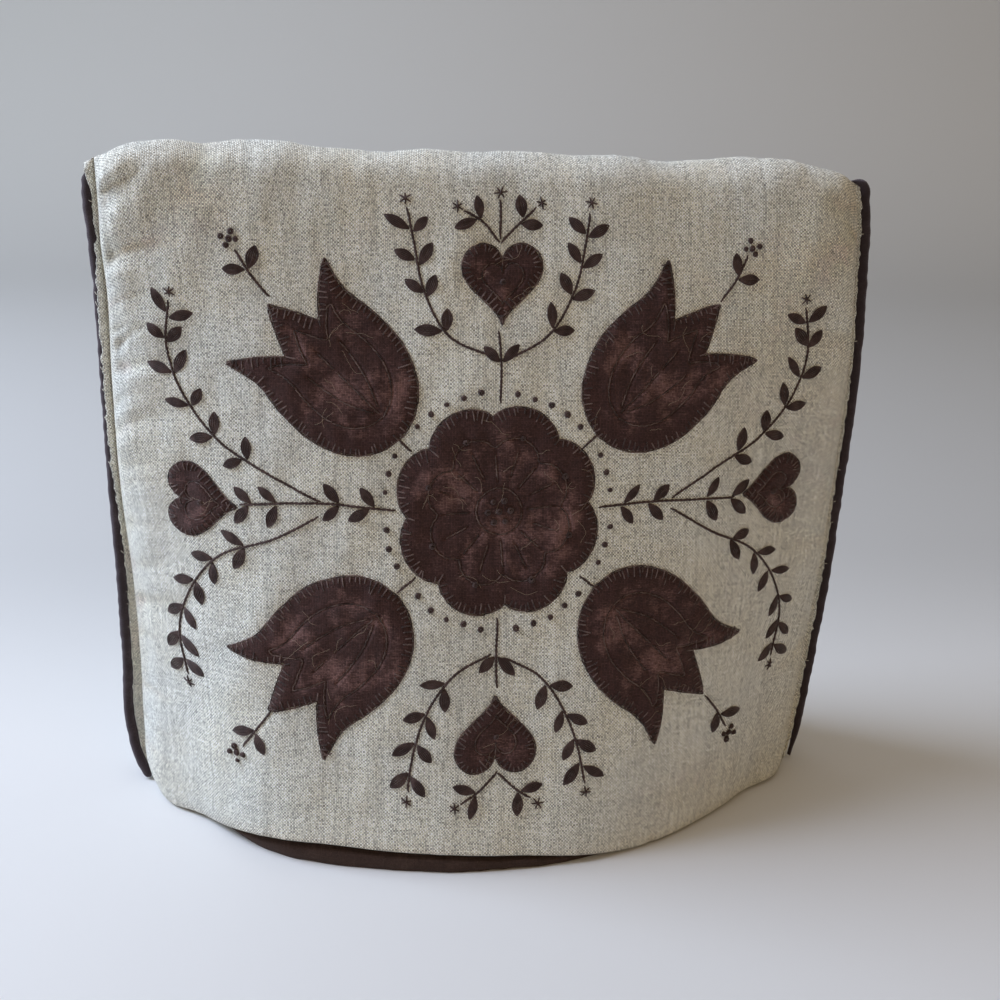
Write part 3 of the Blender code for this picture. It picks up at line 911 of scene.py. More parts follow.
class Cover:
    """Padded linen cover: its outside with the lips at the pipings, its inside and its hem."""

    def __init__(self, form: Form, grid: CoverGrid, lip: Lip, dents: DentMap) -> None:
        """Shapes both sides of the cover.

        Args:
            form: The cosy's form.
            grid: How finely the cover is divided.
            lip: The cloth's edges beside the pipings.
            dents: Dents under the stitches and patches of the front.
        """
        self.form, self.grid, self.lip = form, grid, lip
        turn = np.linspace(0, math.pi / 2, grid.roll_columns + 1)
        edge = form.edge_roll * (1 - np.cos(turn)) / form.half_width - 1
        middle = np.linspace(edge[-1], -edge[-1], grid.panel_columns + 1)[1:-1]
        self.across = np.concatenate([edge, middle, -edge[::-1]])
        self.skins = {
            face: Skin(form, face, self.across, grid, Relief(face, dents)) for face in Face
        }

    def outside(self, face: Face) -> tuple[Array, Array, Array]:
        """Points, places on the cloth, and marks of soil and painted shade of one side, lips
        included.
        """
        panel = self.skins[face].points
        left = self.lip.columns(self.form, Side.LEFT, face, panel[:, 0])
        right = self.lip.columns(self.form, Side.RIGHT, face, panel[:, -1])
        points = np.concatenate([left, panel, right[:, ::-1]], 1)
        run = run_along(points, 1)
        u = run - run[:, [points.shape[1] // 2]]
        seam = self.grid.seam_columns
        v = np.pad(self.skins[face].run, ((0, 0), (seam, seam)), mode="edge") * face.value
        return points, np.stack([u, v], -1), self.marking(face, panel)

    def marking(self, face: Face, panel: Array) -> Array:
        """How marked each point of one side is, 0 to 1: soil and stains, and painted shade beside
        the seams and in the creases.
        """
        x, z = panel[..., 0], panel[..., 2]
        lip = self.lip
        from_seam = (1 - np.abs(self.across))[None, :] * self.form.half_width
        share = np.where(self.across < 0, 1.0, lip.right_share)[None, :]
        # Soil and painted shade beside the seams
        marks = share * lip.edge_soil_and_shade * np.exp(-from_seam / lip.edge_mark_reach)
        marks = marks * (1 - step((z - lip.marks_fade_from) / lip.clean_over))
        if face is Face.FRONT:
            for row in STAINS:
                off = ((x / MM - row.x) / row.across) ** 2 + ((z / MM - row.z) / row.up) ** 2
                marks = marks + row.strength * np.exp(-off)
            # Painted shade in the creases
            marks = marks + lip.crease_painted_shade * np.clip(Relief.creased(x, z) / lip.crease_full, 0, 1)
        above_hem = z - self.skins[face].heights[-1]
        # Darker just above the hem
        marks = marks + lip.hem_darkening * np.exp(-np.maximum(above_hem, 0) / lip.hem_reach)
        # The lip's own marks, soil and painted shade, fade out towards the top
        worn = 1 - step((z[:, 0] - lip.marks_fade_from) / lip.clean_over)
        edge = np.array(lip.marks)[None, :] * worn[:, None]
        return np.concatenate([edge, marks, edge[:, ::-1] * lip.right_share], 1)

    def inside(self, face: Face) -> Array:
        """Points of one side of the cover's inner surface, from the top down."""
        grid, form = self.grid, self.form
        ends = np.linspace(-1, grid.inner_shrink - 1, grid.seam_columns, endpoint=False)
        across = np.concatenate([ends, self.across * (1 - grid.inner_shrink), -ends[::-1]])
        return hollow_side(
            form, across, form.pad_thickness, face, grid.inner_rows, grid.hem_round
        )

    def build(self, material: Material) -> Piece:
        """Makes the cover as one closed mesh.

        Args:
            material: The linen.

        Returns:
            The cover's object.
        """
        grid = self.grid
        rows = len(self.skins[Face.FRONT].run)
        kept = np.arange(grid.roll_rows, rows, grid.back_stride)
        kept = np.concatenate([np.arange(grid.roll_rows), kept])
        upper, lower, points, uv, marks = self.shell(kept)
        faces = strip_faces(upper) + strip_faces(lower[:, 1:-1], False)
        for n, (j0, j1) in enumerate(zip(kept[:-1], kept[1:])):
            shared = np.arange(j0, j1 + 1)
            left = [lower[n, 1], lower[n + 1, 1], *upper[shared[::-1], 0]]
            right = [*upper[shared, -1], lower[n + 1, -2], lower[n, -2]]
            faces += [[int(k) for k in left], [int(k) for k in right]]
        sides = [self.inside(face) for face in Face]
        hollow_points, hollow_front, hollow_back = bag(*sides, len(points))
        faces += strip_faces(hollow_front, False) + strip_faces(hollow_back, True)
        points = np.concatenate([points, hollow_points])
        loops = hem_loop(upper, lower), hem_loop(hollow_front, hollow_back)
        rim, rim_faces = self.rim(points, *loops)
        inner = np.concatenate([hollow_points, rim])
        points = np.concatenate([points, rim])
        uv = np.concatenate([uv, inner[:, [0, 2]]])
        marks = np.concatenate([marks, np.full(len(inner), self.lip.inside_soil)])
        made = make_mesh("linen_cover", points, faces + rim_faces, uv, material)
        set_values(made, MARKS, np.clip(marks, 0, 1))
        return made

    def shell(self, kept: Array) -> tuple[Array, ...]:
        """Joins the front to the back, of which only some rows are kept.

        Args:
            kept: Numbers of the back's rows that are kept.

        Returns:
            Point numbers of the front's and the back's grids, and the points, their places on
            the cloth and their marks of soil and painted shade.
        """
        front, front_uv, front_soil = self.outside(Face.FRONT)
        back, back_uv, back_soil = self.outside(Face.BACK)
        upper = np.arange(front.shape[0] * front.shape[1]).reshape(front.shape[:2])
        inner = (len(kept) - 1, front.shape[1] - 2)
        lower = upper[kept]
        lower[1:, 1:-1] = upper.size + np.arange(inner[0] * inner[1]).reshape(inner)
        picked = np.s_[kept[1:], 1:-1]
        points = np.concatenate([front.reshape(-1, 3), back[picked].reshape(-1, 3)])
        uv = np.concatenate([front_uv.reshape(-1, 2), back_uv[picked].reshape(-1, 2)])
        marks = np.concatenate([front_soil.ravel(), back_soil[picked].ravel()])
        return upper, lower, points, uv, marks

    def rim(self, points: Array, loop: Array, hollow_loop: Array) -> tuple[Array, list]:
        """Rounds the hem between the outside and the inside.

        Args:
            points: All the points so far.
            loop: Point numbers round the outside's lower edge.
            hollow_loop: Point numbers round the inside's lower edge.

        Returns:
            The rim's own points, which follow the others, and its faces.
        """
        grid, rows, faces = self.grid, [], []
        outer_line, way = points[loop], points[hollow_loop] - points[loop]
        for k in range(grid.rim_rows):
            turn = math.pi * (k + 1) / (grid.rim_rows + 1)
            row = outer_line + way * (1 - math.cos(turn)) / 2
            row[:, 2] -= grid.hem_round * math.sin(turn)
            rows.append(row)
            numbers = len(points) + k * len(row) + np.arange(len(row))
            faces += ring_faces(loop, numbers)
            loop = numbers
        return np.concatenate(rows), faces + ring_faces(loop, hollow_loop)


TOP_SHARES, EVEN_FROM = (0.0, 0.0018, 0.006), 0.02


def hollow_side(
    form: Form, across: Array, inset: float, face: Face, rows: int, foot: float
) -> Array:
    """Points of one side of a surface inside the cover, from its top down to the hem's height.

    Args:
        form: The cosy's form.
        across: Place across the panel of each column, -1 to 1.
        inset: How far inside the cover's outside the surface lies.
        face: Front or back.
        rows: Number of rows below the crowded ones at the top.
        foot: Height of the lowest row above the hem.

    Returns:
        A grid of points.
    """
    hem = form.hem_lift(across, face) + foot
    top = eased(RIDGE, "height", across) - inset
    shares = np.concatenate([TOP_SHARES, np.linspace(EVEN_FROM, 1, rows)])
    heights = top + (hem - top) * shares[:, None]
    return form.surface(across[None, :], heights, inset, face)


def bag(front: Array, back: Array, first: int) -> tuple[Array, Array, Array]:
    """Joins the two sides of a hollow at their top and side edges.

    Args:
        front: Grid of points of the front, from the top down.
        back: The same for the back.
        first: Number of the first point.

    Returns:
        The points, and the point numbers of the front's and the back's grids.
    """
    for place in (np.s_[:, 0, 1], np.s_[:, -1, 1], np.s_[0, :, 1]):
        front[place] = (front[place] + back[place]) / 2
    rows, columns = front.shape[:2]
    ahead = first + np.arange(rows * columns).reshape(rows, columns)
    behind = ahead.copy()
    inner = np.arange((rows - 1) * (columns - 2)).reshape(rows - 1, columns - 2)
    behind[1:, 1:-1] = first + rows * columns + inner
    points = np.concatenate([front.reshape(-1, 3), back[1:, 1:-1].reshape(-1, 3)])
    return points, ahead, behind


def hem_loop(front: Array, back: Array) -> Array:
    """Point numbers round the open lower edge of two joined sides."""
    return np.concatenate([front[-1], back[-1, -2:0:-1]])


@dataclass(frozen=True)
class Lining:
    """Brown lining: a thin open bag inside the cover, whose foot shows under the front hem."""

    form: Form
    columns: int = 200
    foot_rows: int = 10
    foot_from: float = 0.9
    hollow_rows: int = 9
    end_crowding: float = 0.6
    foot_waves: Waves = Waves(0.00035, 0.012, 0.040, 41)
    edge_waves: Waves = Waves(0.00028, 0.010, 0.060, 42)

    def side(self, across: Array, inset: float, face: Face) -> Array:
        """Points of one side of the lining's outer or inner surface, from the top down."""
        form = self.form
        lift = form.hem_lift(across, face)
        kick = form.lining_kick * step((lift - form.kick_from) / (form.kick_to - form.kick_from))
        kick = kick * roll(1 - np.abs(across), form.seam_blend)
        rows = []
        x = form.panel_x(across, 0 * across)
        wobble = self.foot_waves.at(x, 0 * x + face.value)
        edge = np.abs(self.edge_waves.at(x, 0 * x + face.value)) * step(kick / form.lining_kick)
        for share in np.linspace(self.foot_from, 0, self.foot_rows):
            height = edge * (1 - share) + share * (lift - form.gap)
            row = form.surface(across, height, inset, face)
            forward = eased(LINING_FOOT, "kick", share) * kick
            forward = forward + wobble * (1 - share) * step(kick / form.lining_kick)
            row[:, 1] += face.value * forward
            rows.append(row)
        hollow = hollow_side(form, across, inset, face, self.hollow_rows, 0.0)
        return np.concatenate([hollow, rows])

    def build(self, material: Material) -> Piece:
        """Makes the lining as one closed mesh."""
        even = np.linspace(-1, 1, self.columns + 1)
        across = (1 - self.end_crowding) * even
        across = across + self.end_crowding * np.sin(even * math.pi / 2)
        first = self.form.pad_thickness + self.form.gap
        points, faces, loops, count = [], [], [], 0
        for inset, outward in ((first, True), (first + self.form.lining_thickness, False)):
            sides = [self.side(across, inset, face) for face in Face]
            made, front, back = bag(*sides, count)
            faces += strip_faces(front, outward) + strip_faces(back, not outward)
            loops.append(hem_loop(front, back))
            points.append(made)
            count += len(made)
        faces += ring_faces(*loops)
        points = np.concatenate(points)
        return make_mesh("brown_lining", points, faces, points[:, [0, 2]], material)


@dataclass(frozen=True)
class Piping:
    """Narrow dark cord sewn into one side seam, lumpy, with a drawn-out end."""

    form: Form
    side: Side
    sides: int = 28
    places: int = 48
    pitch: float = 0.0011
    round_share: float = 0.0022
    lumps: Waves = Waves(0.075, 0.0045, 0.020, 51)
    sway: Waves = Waves(0.00010, 0.008, 0.030, 52)
    turn: tuple[Pair, ...] = (
        (0.0, 0.0010), (0.0010, 0.0028), (0.0030, 0.0037), (0.0060, 0.0039),
    )
    left_top: float = 0.0045
    left_foot: float = 0.0042
    left_foot_height: float = 0.0014
    left_thinnest: Pair = (0.26, 0.10)
    left_power: float = 0.8
    right_top: float = 0.0080
    right_foot: float = 0.024
    right_thinnest: Pair = (0.42, 0.16)
    right_power: float = 0.7

    def path(self) -> Array:
        """Centre line, from just above the table up to the shoulder or over it."""
        form, side = self.form, self.side
        left = side is Side.LEFT
        drop = form.left_piping_drop if left else form.right_piping_drop
        top = RIDGE[0 if left else -1].height - drop
        foot = self.left_foot_height if left else form.piping_depth / 2 + form.gap
        heights = np.linspace(foot, top, self.places)
        x = form.seam_out(side, heights)
        path = np.stack([x, -form.forward(1.0, heights), heights], -1)
        if not left:
            bend = [(path[-1, 0] - inwards, 0.0, top + up) for inwards, up in self.turn]
            path = np.concatenate([path[:-1], bend])
        return smooth_line(path, self.pitch)

    def fullness(self, run: Array) -> Array:
        """Share of the full width at each distance from the foot."""
        to_top = run[-1] - run
        if self.side is Side.LEFT:
            at_foot, at_top = self.left_thinnest
            foot, top = roll(run, self.left_foot), step(to_top / self.left_top) ** self.left_power
        else:
            at_foot, at_top = self.right_thinnest
            foot = step(run / self.right_foot)
            top = step(to_top / self.right_top) ** self.right_power
        return (at_foot + (1 - at_foot) * foot) * (at_top + (1 - at_top) * top)

    def build(self, material: Material) -> Piece:
        """Makes the cord as one closed mesh."""
        path = self.path()
        run = run_along(path)
        along = unit(np.gradient(path, axis=0))
        sideways = unit(np.cross((0, 1, 0), along))
        path = path + sideways * self.sway.at(run, 0 * run + self.side.value)[:, None]
        turn = np.linspace(0, 2 * math.pi, self.sides, endpoint=False)
        lumps = 1 + self.lumps.at(run[:, None], turn * self.round_share)
        size = self.fullness(run)[:, None] * lumps
        x = size * self.form.piping_width / 2 * np.cos(turn)
        y = size * self.form.piping_depth / 2 * np.sin(turn)
        points = path[:, None] + x[..., None] * sideways[:, None]
        points = points + y[..., None] * np.array([0, 1, 0])
        rings = np.arange(points.shape[0] * self.sides).reshape(-1, self.sides)
        faces = ring_faces(rings[:-1], rings[1:], False)
        faces += [rings[0][::-1].tolist(), rings[-1].tolist()]
        around = np.minimum(turn, 2 * math.pi - turn) * self.form.piping_width / 2
        uv = np.stack(np.broadcast_arrays(around[None, :], run[:, None]), -1).reshape(-1, 2)
        name = f"{self.side.name.lower()}_piping"
        return make_mesh(name, points.reshape(-1, 3), faces, uv, material)


class ThreadMesh:
    """Collects many lengths of thread and makes them into one piece."""

    def __init__(self, sides: int = 6) -> None:
        """Starts with no thread, whose section has a number of sides."""
        self.sides = sides
        self.points: list[Array] = []
        self.uv: list[Array] = []
        self.faces: list[list[int]] = []
        self.count = 0

    def add(self, lines: Array, normals: Array, radii: Array) -> None:
        """Adds lengths of thread that all have the same number of points.

        Args:
            lines: Centre lines, as (threads, points, 3).
            normals: Direction away from the cloth at each point.
            radii: Radius at each point, as (points) or (threads, points).
        """
        amount, size = lines.shape[:2]
        along = unit(np.gradient(lines, axis=1))
        sideways = unit(np.cross(along, normals))
        upwards = np.cross(sideways, along)
        turn = np.linspace(0, 2 * math.pi, self.sides, endpoint=False)
        radii = np.broadcast_to(radii, (amount, size))[..., None, None]
        ring = np.cos(turn)[:, None] * sideways[:, :, None]
        ring = ring + np.sin(turn)[:, None] * upwards[:, :, None]
        points = lines[:, :, None] + radii * ring
        self.points.append(points.reshape(-1, 3))
        numbers = self.count + np.arange(amount * size * self.sides)
        numbers = numbers.reshape(amount, size, self.sides)
        self.faces += ring_faces(numbers[:, :-1], numbers[:, 1:], False)
        self.faces += numbers[:, 0, ::-1].tolist() + numbers[:, -1].tolist()
        around = np.abs(turn / math.pi - 1) * radii[..., 0] * math.pi
        run = run_along(lines, 1)[..., None] + 0 * around
        self.uv.append(np.stack([run, around], -1).reshape(-1, 2))
        self.count += points.size // 3

    def lay(self, ground: "Ground", places: Array, lift: Array, radii: Array) -> None:
        """Adds lengths of thread that lie over some places of a ground, lifted off it."""
        self.add(*ground.raised(places, lift), radii)

    def build(self, name: str, material: Material, slot: str) -> Piece:
        """Makes the collected thread into one object."""
        points, uv = np.concatenate(self.points), np.concatenate(self.uv)
        made = make_mesh(name, points, self.faces, uv, material)
        return made


class Shape:
    """Outlines of the cut patches, two units across and two long, tips upwards."""

    scallops = 8
    scallop_shape = 0.7
    bite = 0.13
    curve_pitch = 0.02
    rose_vein, rose_vein_lobe, rose_vein_shape = 0.60, 0.11, 0.8
    rose_ring = 0.22
    rose_rays = ((0, 0.28, 0.56), (0.5, 0.34, 0.60))
    rose_knots = (0.11, 0.72)
    tulip_vein = np.array([(0.62, 0.66), (0, -0.04)])
    tulip_middle = np.array([(0, -0.66), (0.01, -0.3), (0, 0.02), (0.0, 0.30)])
    tulip_side = np.array([(0.05, -0.60), (0.22, -0.30), (0.30, -0.02), (0.33, 0.20)])
    heart_vein = 0.52
    heart_knot = np.array([(0.0, 0.05)])

    @classmethod
    def outline(cls, kind: str) -> Array:
        """Dense closed outline of one kind of patch."""
        return {"rose": cls.rose, "tulip": cls.tulip, "heart": cls.heart}[kind]()

    @classmethod
    def rose(cls) -> Array:
        """Scalloped round."""
        turn = np.linspace(0, 2 * math.pi, 1440, endpoint=False)
        lobe = np.abs(np.sin(turn * cls.scallops / 2)) ** cls.scallop_shape
        return spokes(turn, 1 - cls.bite * (1 - lobe))

    @classmethod
    def tulip(cls) -> Array:
        """Cup with three pointed petals."""
        half = np.array([(2 * row.across, 2 * row.along - 1) for row in TULIP])
        parts = [smooth_line(part, cls.curve_pitch) for part in (half[:7], half[6:9], half[8:])]
        half = np.concatenate([parts[0], parts[1][1:], parts[2][1:]])
        mirrored = half[-2:0:-1] * (-1, 1)
        return np.concatenate([half, mirrored])

    @staticmethod
    def heart() -> Array:
        """The usual heart curve, with its point downwards."""
        turn = np.linspace(0, 2 * math.pi, 720, endpoint=False)
        up = 13 * np.cos(turn) - 5 * np.cos(2 * turn) - 2 * np.cos(3 * turn) - np.cos(4 * turn)
        return np.stack([-(np.sin(turn) ** 3), (up + 2.5) / 14.5], -1)


@dataclass(frozen=True)
class PatchSizes:
    """Measures shared by all the patches."""

    pitch: float = 0.0008
    under: float = 0.00006
    thinnest: float = 0.00012
    edge_lift: float = 0.00042
    full_lift: float = 0.00105
    swell_over: float = 0.0026
    band: float = 0.0062
    band_step: float = 0.00052
    inner_step: float = 0.00065
    inner_end: float = 0.04
    under_rings: int = 3
    rubbed_over: float = 0.0075
    quilt: Waves = Waves(0.00022, 0.007, 0.022, 61)
    ragged: Waves = Waves(0.00016, 0.0022, 0.0070, 62)


class Patch:
    """One cut patch, sewn down round its edge so that its middle swells a little."""

    def __init__(self, row: PatchRow, sizes: PatchSizes) -> None:
        """Works out the patch's outline on the front.

        Args:
            row: Place and size of the patch.
            sizes: Measures shared by all the patches.
        """
        self.row, self.sizes = row, sizes
        outline = self.place(Shape.outline(row.shape))
        self.outline = evenly(np.concatenate([outline, outline[:1]]), sizes.pitch, True)
        self.middle = np.array([row.across, row.height])

    def place(self, shape: Array) -> Array:
        """Places on the front of points in units of the patch's halves."""
        x, y = shape[..., 0] * self.row.width / 2, shape[..., 1] * self.row.length / 2
        turn = math.radians(self.row.turn)
        across = x * math.cos(turn) - y * math.sin(turn)
        height = x * math.sin(turn) + y * math.cos(turn)
        return np.stack([across + self.row.across, height + self.row.height], -1)

    def inwards(self) -> Array:
        """Direction into the patch, at each point of its outline."""
        along = np.roll(self.outline, -2, axis=0) - np.roll(self.outline, 2, axis=0)
        inward = unit(quarter_turn(along))
        side = np.sign(np.sum(inward * (self.middle - self.outline), 1).sum())
        return inward * side

    def edge_distance(self, places: Array) -> Array:
        """Distance of some places from the outline."""
        flat = places.reshape(-1, 2)
        best = np.full(len(flat), 1.0)
        for part in np.array_split(self.outline, 8):
            away = np.hypot(flat[:, None, 0] - part[:, 0], flat[:, None, 1] - part[:, 1])
            best = np.minimum(best, away.min(1))
        return best.reshape(places.shape[:-1])

    def top(self, places: Array, grooves: DentMap) -> Array:
        """How far the patch's face stands off the cover at some places inside it."""
        sizes = self.sizes
        share = np.clip(self.edge_distance(places) / sizes.swell_over, 0, 1)
        x, z = places[..., 0], places[..., 1]
        lift = sizes.edge_lift + (sizes.full_lift - sizes.edge_lift) * roll(share, 1)
        lift = lift + sizes.quilt.at(x, z) * share
        return np.maximum(lift - grooves.at(x, z), sizes.under + sizes.thinnest)

    def build(self, skin: Skin, grooves: DentMap, material: Material) -> Piece:
        """Makes the patch as one closed mesh.

        Args:
            skin: The cover's front.
            grooves: What the stitches press into the patch.
            material: The patch's cloth.

        Returns:
            The patch's object.
        """
        sizes, around = self.sizes, len(self.outline)
        reach = np.linalg.norm(self.outline - self.middle, axis=1).mean()
        band = 1 - np.arange(0, sizes.band, sizes.band_step) / reach
        steps = max(3, round((reach - sizes.band) / sizes.inner_step))
        shares = np.concatenate([band, np.linspace(band[-1], sizes.inner_end, steps + 1)[1:]])
        rough = sizes.ragged.at(self.outline[:, 0], self.outline[:, 1])
        edge = self.outline + self.inwards() * rough[:, None] - self.middle
        places = self.middle + edge * shares[:, None, None]
        under = np.linspace(1, 0, sizes.under_rings, endpoint=False)
        under_places = self.middle + edge * under[:, None, None]
        all_places = np.concatenate([places, under_places])
        under_lifts = np.full(under_places.shape[:2], sizes.under)
        lifts = np.concatenate([self.top(places, grooves), under_lifts])
        points, normals = skin.at(all_places)
        points = points + normals * lifts[..., None]
        rings = np.arange(points.shape[0] * around).reshape(-1, around)
        top, below = rings[: len(shares)], rings[len(shares):]
        order = np.concatenate([top[::-1], below])
        faces = ring_faces(order[:-1], order[1:])
        faces += [top[-1].tolist(), below[-1][::-1].tolist()]
        if self.clockwise():
            faces = [face[::-1] for face in faces]
        uv = all_places.reshape(-1, 2) - self.middle

        made = make_mesh(f"{self.row.name}_patch", points.reshape(-1, 3), faces, uv, material)
        inside = np.clip(self.edge_distance(all_places) / sizes.rubbed_over, 0, 1)
        set_values(made, MARKS, inside.ravel())
        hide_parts(self.row.name)
        return made

    def clockwise(self) -> bool:
        """Whether the outline runs clockwise as seen from the front."""
        x, z = (self.outline - self.middle).T
        return float(np.sum(x * np.roll(z, -1) - z * np.roll(x, -1))) < 0


class Tip(Enum):
    """What a stitched line ends in."""

    NONE = "none"
    STAR = "star"
    KNOTS = "knots"


class LineRow(NamedTuple):
    """Stitched line on the linen: places in mm from its root, where leaves grow, and its end."""

    places: tuple[Pair, ...]
    leaves: tuple[float, ...] = ()
    tip: Tip = Tip.NONE
    mirrored: bool = True


SHORT_LEAVES = (0.3, 0.5, 0.68, 0.85)
LONG_LEAVES = (0.30, 0.44, 0.57, 0.70, 0.82, 0.92)
# The right half of the medallion; mirrored lines are worked again on the left, a little differently
LINES = table(
    LineRow,
    (((0, 191), (0.7, 206), (0, 221)), (0.5,), Tip.NONE, False),
    (((0, 105), (-0.7, 91), (0, 76)), (0.5,), Tip.NONE, False),
    (((43, 148), (76, 150), (106, 148.5)), (0.14, 0.34, 0.74, 0.92)),
    (((34.5, 172.6), (42.6, 178.4)),),
    (((34, 121.6), (41.4, 115.8)),),
    (((2, 209), (20, 218), (31, 235), (36, 255), (37, 268)), SHORT_LEAVES, Tip.STAR),
    (((2, 89), (18, 80), (30, 62), (36, 44), (38, 33)), SHORT_LEAVES, Tip.STAR),
    (
        ((74, 151), (94, 162), (114, 173), (129, 188), (136, 208), (134, 229)),
        LONG_LEAVES, Tip.STAR,
    ),
    (
        ((74, 147), (94, 135), (114, 125), (128, 109), (134, 89), (131, 67)),
        LONG_LEAVES, Tip.STAR,
    ),
    (((0, 254), (-7, 262), (-15, 267)), (0.55,), Tip.STAR, False),
    (((0, 254), (8, 262), (15, 268)), (0.55,), Tip.STAR, False),
    (((0, 254), (0.4, 263), (0, 271)), (), Tip.STAR, False),
    (((0, 41), (-8, 34), (-16, 29)), (0.55,), Tip.STAR, False),
    (((0, 41), (7, 34), (15, 29)), (0.55,), Tip.STAR, False),
    (((94, 231), (101, 240), (106, 250)), (0.5,), Tip.KNOTS),
    (((94, 63), (101, 54), (107, 44)), (0.5,), Tip.KNOTS),
)


def arched(t: Array, power: float) -> Array:
    """Arch of a stitch, 0 at both ends and 1 in the middle, fuller where the power is low."""
    return np.sin(math.pi * t) ** power


class Lie(NamedTuple):
    """How a stitch lies, in shares of its thread: its rise, and how full its ends are."""

    rise: float
    ends: float

    def lift(self, t: Array, thread: float, sunk: float) -> Array:
        """Height of the thread's middle along a stitch whose ends are sunk."""
        return -thread * sunk + arched(t, 0.5) * thread * self.rise

    def radii(self, t: Array, thread: float) -> Array:
        """Radius of the thread along a stitch."""
        return thread * (self.ends + (1 - self.ends) * arched(t, 0.6))


@dataclass(frozen=True)
class StitchSizes:
    """Measures of the embroidery; how far a stitch sinks or stands is a share of its thread."""

    thread: float = 0.00042
    sunk: float = 1.1
    stem_lie: Lie = Lie(1.9, 0.66)
    star_lie: Lie = Lie(1.75, 0.62)
    leg_jog: float = 0.07
    stitch_places: int = 8
    worked_places: float = 0.0006
    line_dent: Pair = (0.00030, 0.0016)
    patch_dent: Pair = (0.00050, 0.0024)
    hand_shift: Pair = (0.25, 0.7)
    blanket_thread: float = 0.00027
    blanket_pitch: float = 0.00235
    blanket_leg: float = 0.0031
    leg_jitter: float = 0.0009
    leg_longest: float = 0.0058
    leg_share: float = 0.32
    leg_lean: float = 0.10
    leg_reach: tuple[float, ...] = (1.0, 0.93, 0.78, 0.55, 0.32, 0.12, -0.01, -0.06)
    leg_over: tuple[float, ...] = (-0.9, 0.25, 0.75, 0.8, 0.8, 0.85, 0.7, 0.7)
    leg_full: tuple[float, ...] = (0.6, 1, 1, 1, 1, 1, 1, 0.8)
    leg_ends: Pair = (0.95, 0.35)
    leg_groove: Pair = (0.00020, 0.00055)
    bar_out: Place = (0.00028, 0.00022, 0.00007)
    bar_lift: float = 0.00012
    bar_rise: Pair = (0.9, 0.35)
    bar_full: Pair = (1.12, 0.22)
    groove_reach: Pair = (0.0006, 0.0028)
    groove_pitch: float = 0.0004
    dent_pitch: float = 0.001
    stem_length: float = 0.0040
    stem_pitch: float = 0.0021
    stem_sideways: float = 0.00036
    stem_jitter: float = 0.00004
    stem_varied: float = 0.05
    leaf_length: float = 0.0096
    leaf_width: float = 0.0037
    leaf_stitches: int = 6
    leaf_root: float = 0.0009
    leaf_lean: Pair = (48, 7)
    leaf_varied: Pair = (0.07, 0.08)
    leaf_first: float = 0.05
    leaf_last: Pair = (0.03, 0.09)
    leaf_belly: Pair = (1.1, 0.85)
    leaf_arch: tuple[float, float, float] = (0.06, 0.97, 0.35)
    leaf_lift: Pair = (-0.8, 1.7)
    leaf_uneven: Pair = (0.15, 0.12)
    leaf_full: Pair = (0.62, 0.30)
    knot_radius: float = 0.00098
    knot_coils: float = 2.1
    knot_places: int = 20
    knot_varied: Pair = (0.13, 0.12)
    knot_closing: Pair = (0.62, 1.4)
    knot_lift: tuple[float, float, float] = (0.55, 1.9, 0.9)
    knot_full: float = 0.95
    star_varied: Pair = (0.10, 0.09)
    star_reach: float = 0.0028
    star_thread: float = 0.86
    star_rise: float = 0.00025
    vein_thread: float = 0.00025
    vein_pitch: float = 0.0024
    vein_length: float = 0.0034
    vein_groove: Pair = (0.00085, 0.00062)
    vein_aside: Pair = (0.00042, 0.00012)
    fan: tuple[Pair, ...] = (
        (0, 0.0034), (0.9, 0.0030), (-0.9, 0.0030), (0.35, 0.0062), (-0.4, 0.0060),
    )
    ring_knots: int = 40
    ring_radius: float = 0.0480
    ring_jitter: float = 0.0003
    ring_middle: float = 0.148
    ring_gates: tuple[float, ...] = (0, 180, 90, 270, 35.5, 144.5, -38, -142)
    gate_half: float = math.radians(6.5)


class Ground:
    """What the stitches lie on: the linen, or a patch on it."""

    def __init__(self, skin: Skin, grooves: DentMap, patch: Patch | None = None) -> None:
        """Chooses the surface.

        Args:
            skin: The cover's front.
            grooves: What the stitches press into the patches.
            patch: The patch that lies between, if there is one.
        """
        self.skin, self.grooves, self.patch = skin, grooves, patch

    def raised(self, places: Array, lift: Array) -> tuple[Array, Array]:
        """Points standing `lift` off the surface over some places, and the normals there."""
        points, normals = self.skin.at(places)
        if self.patch is not None:
            lift = lift + self.patch.top(places, self.grooves)
        return points + normals * np.asarray(lift)[..., None], normals


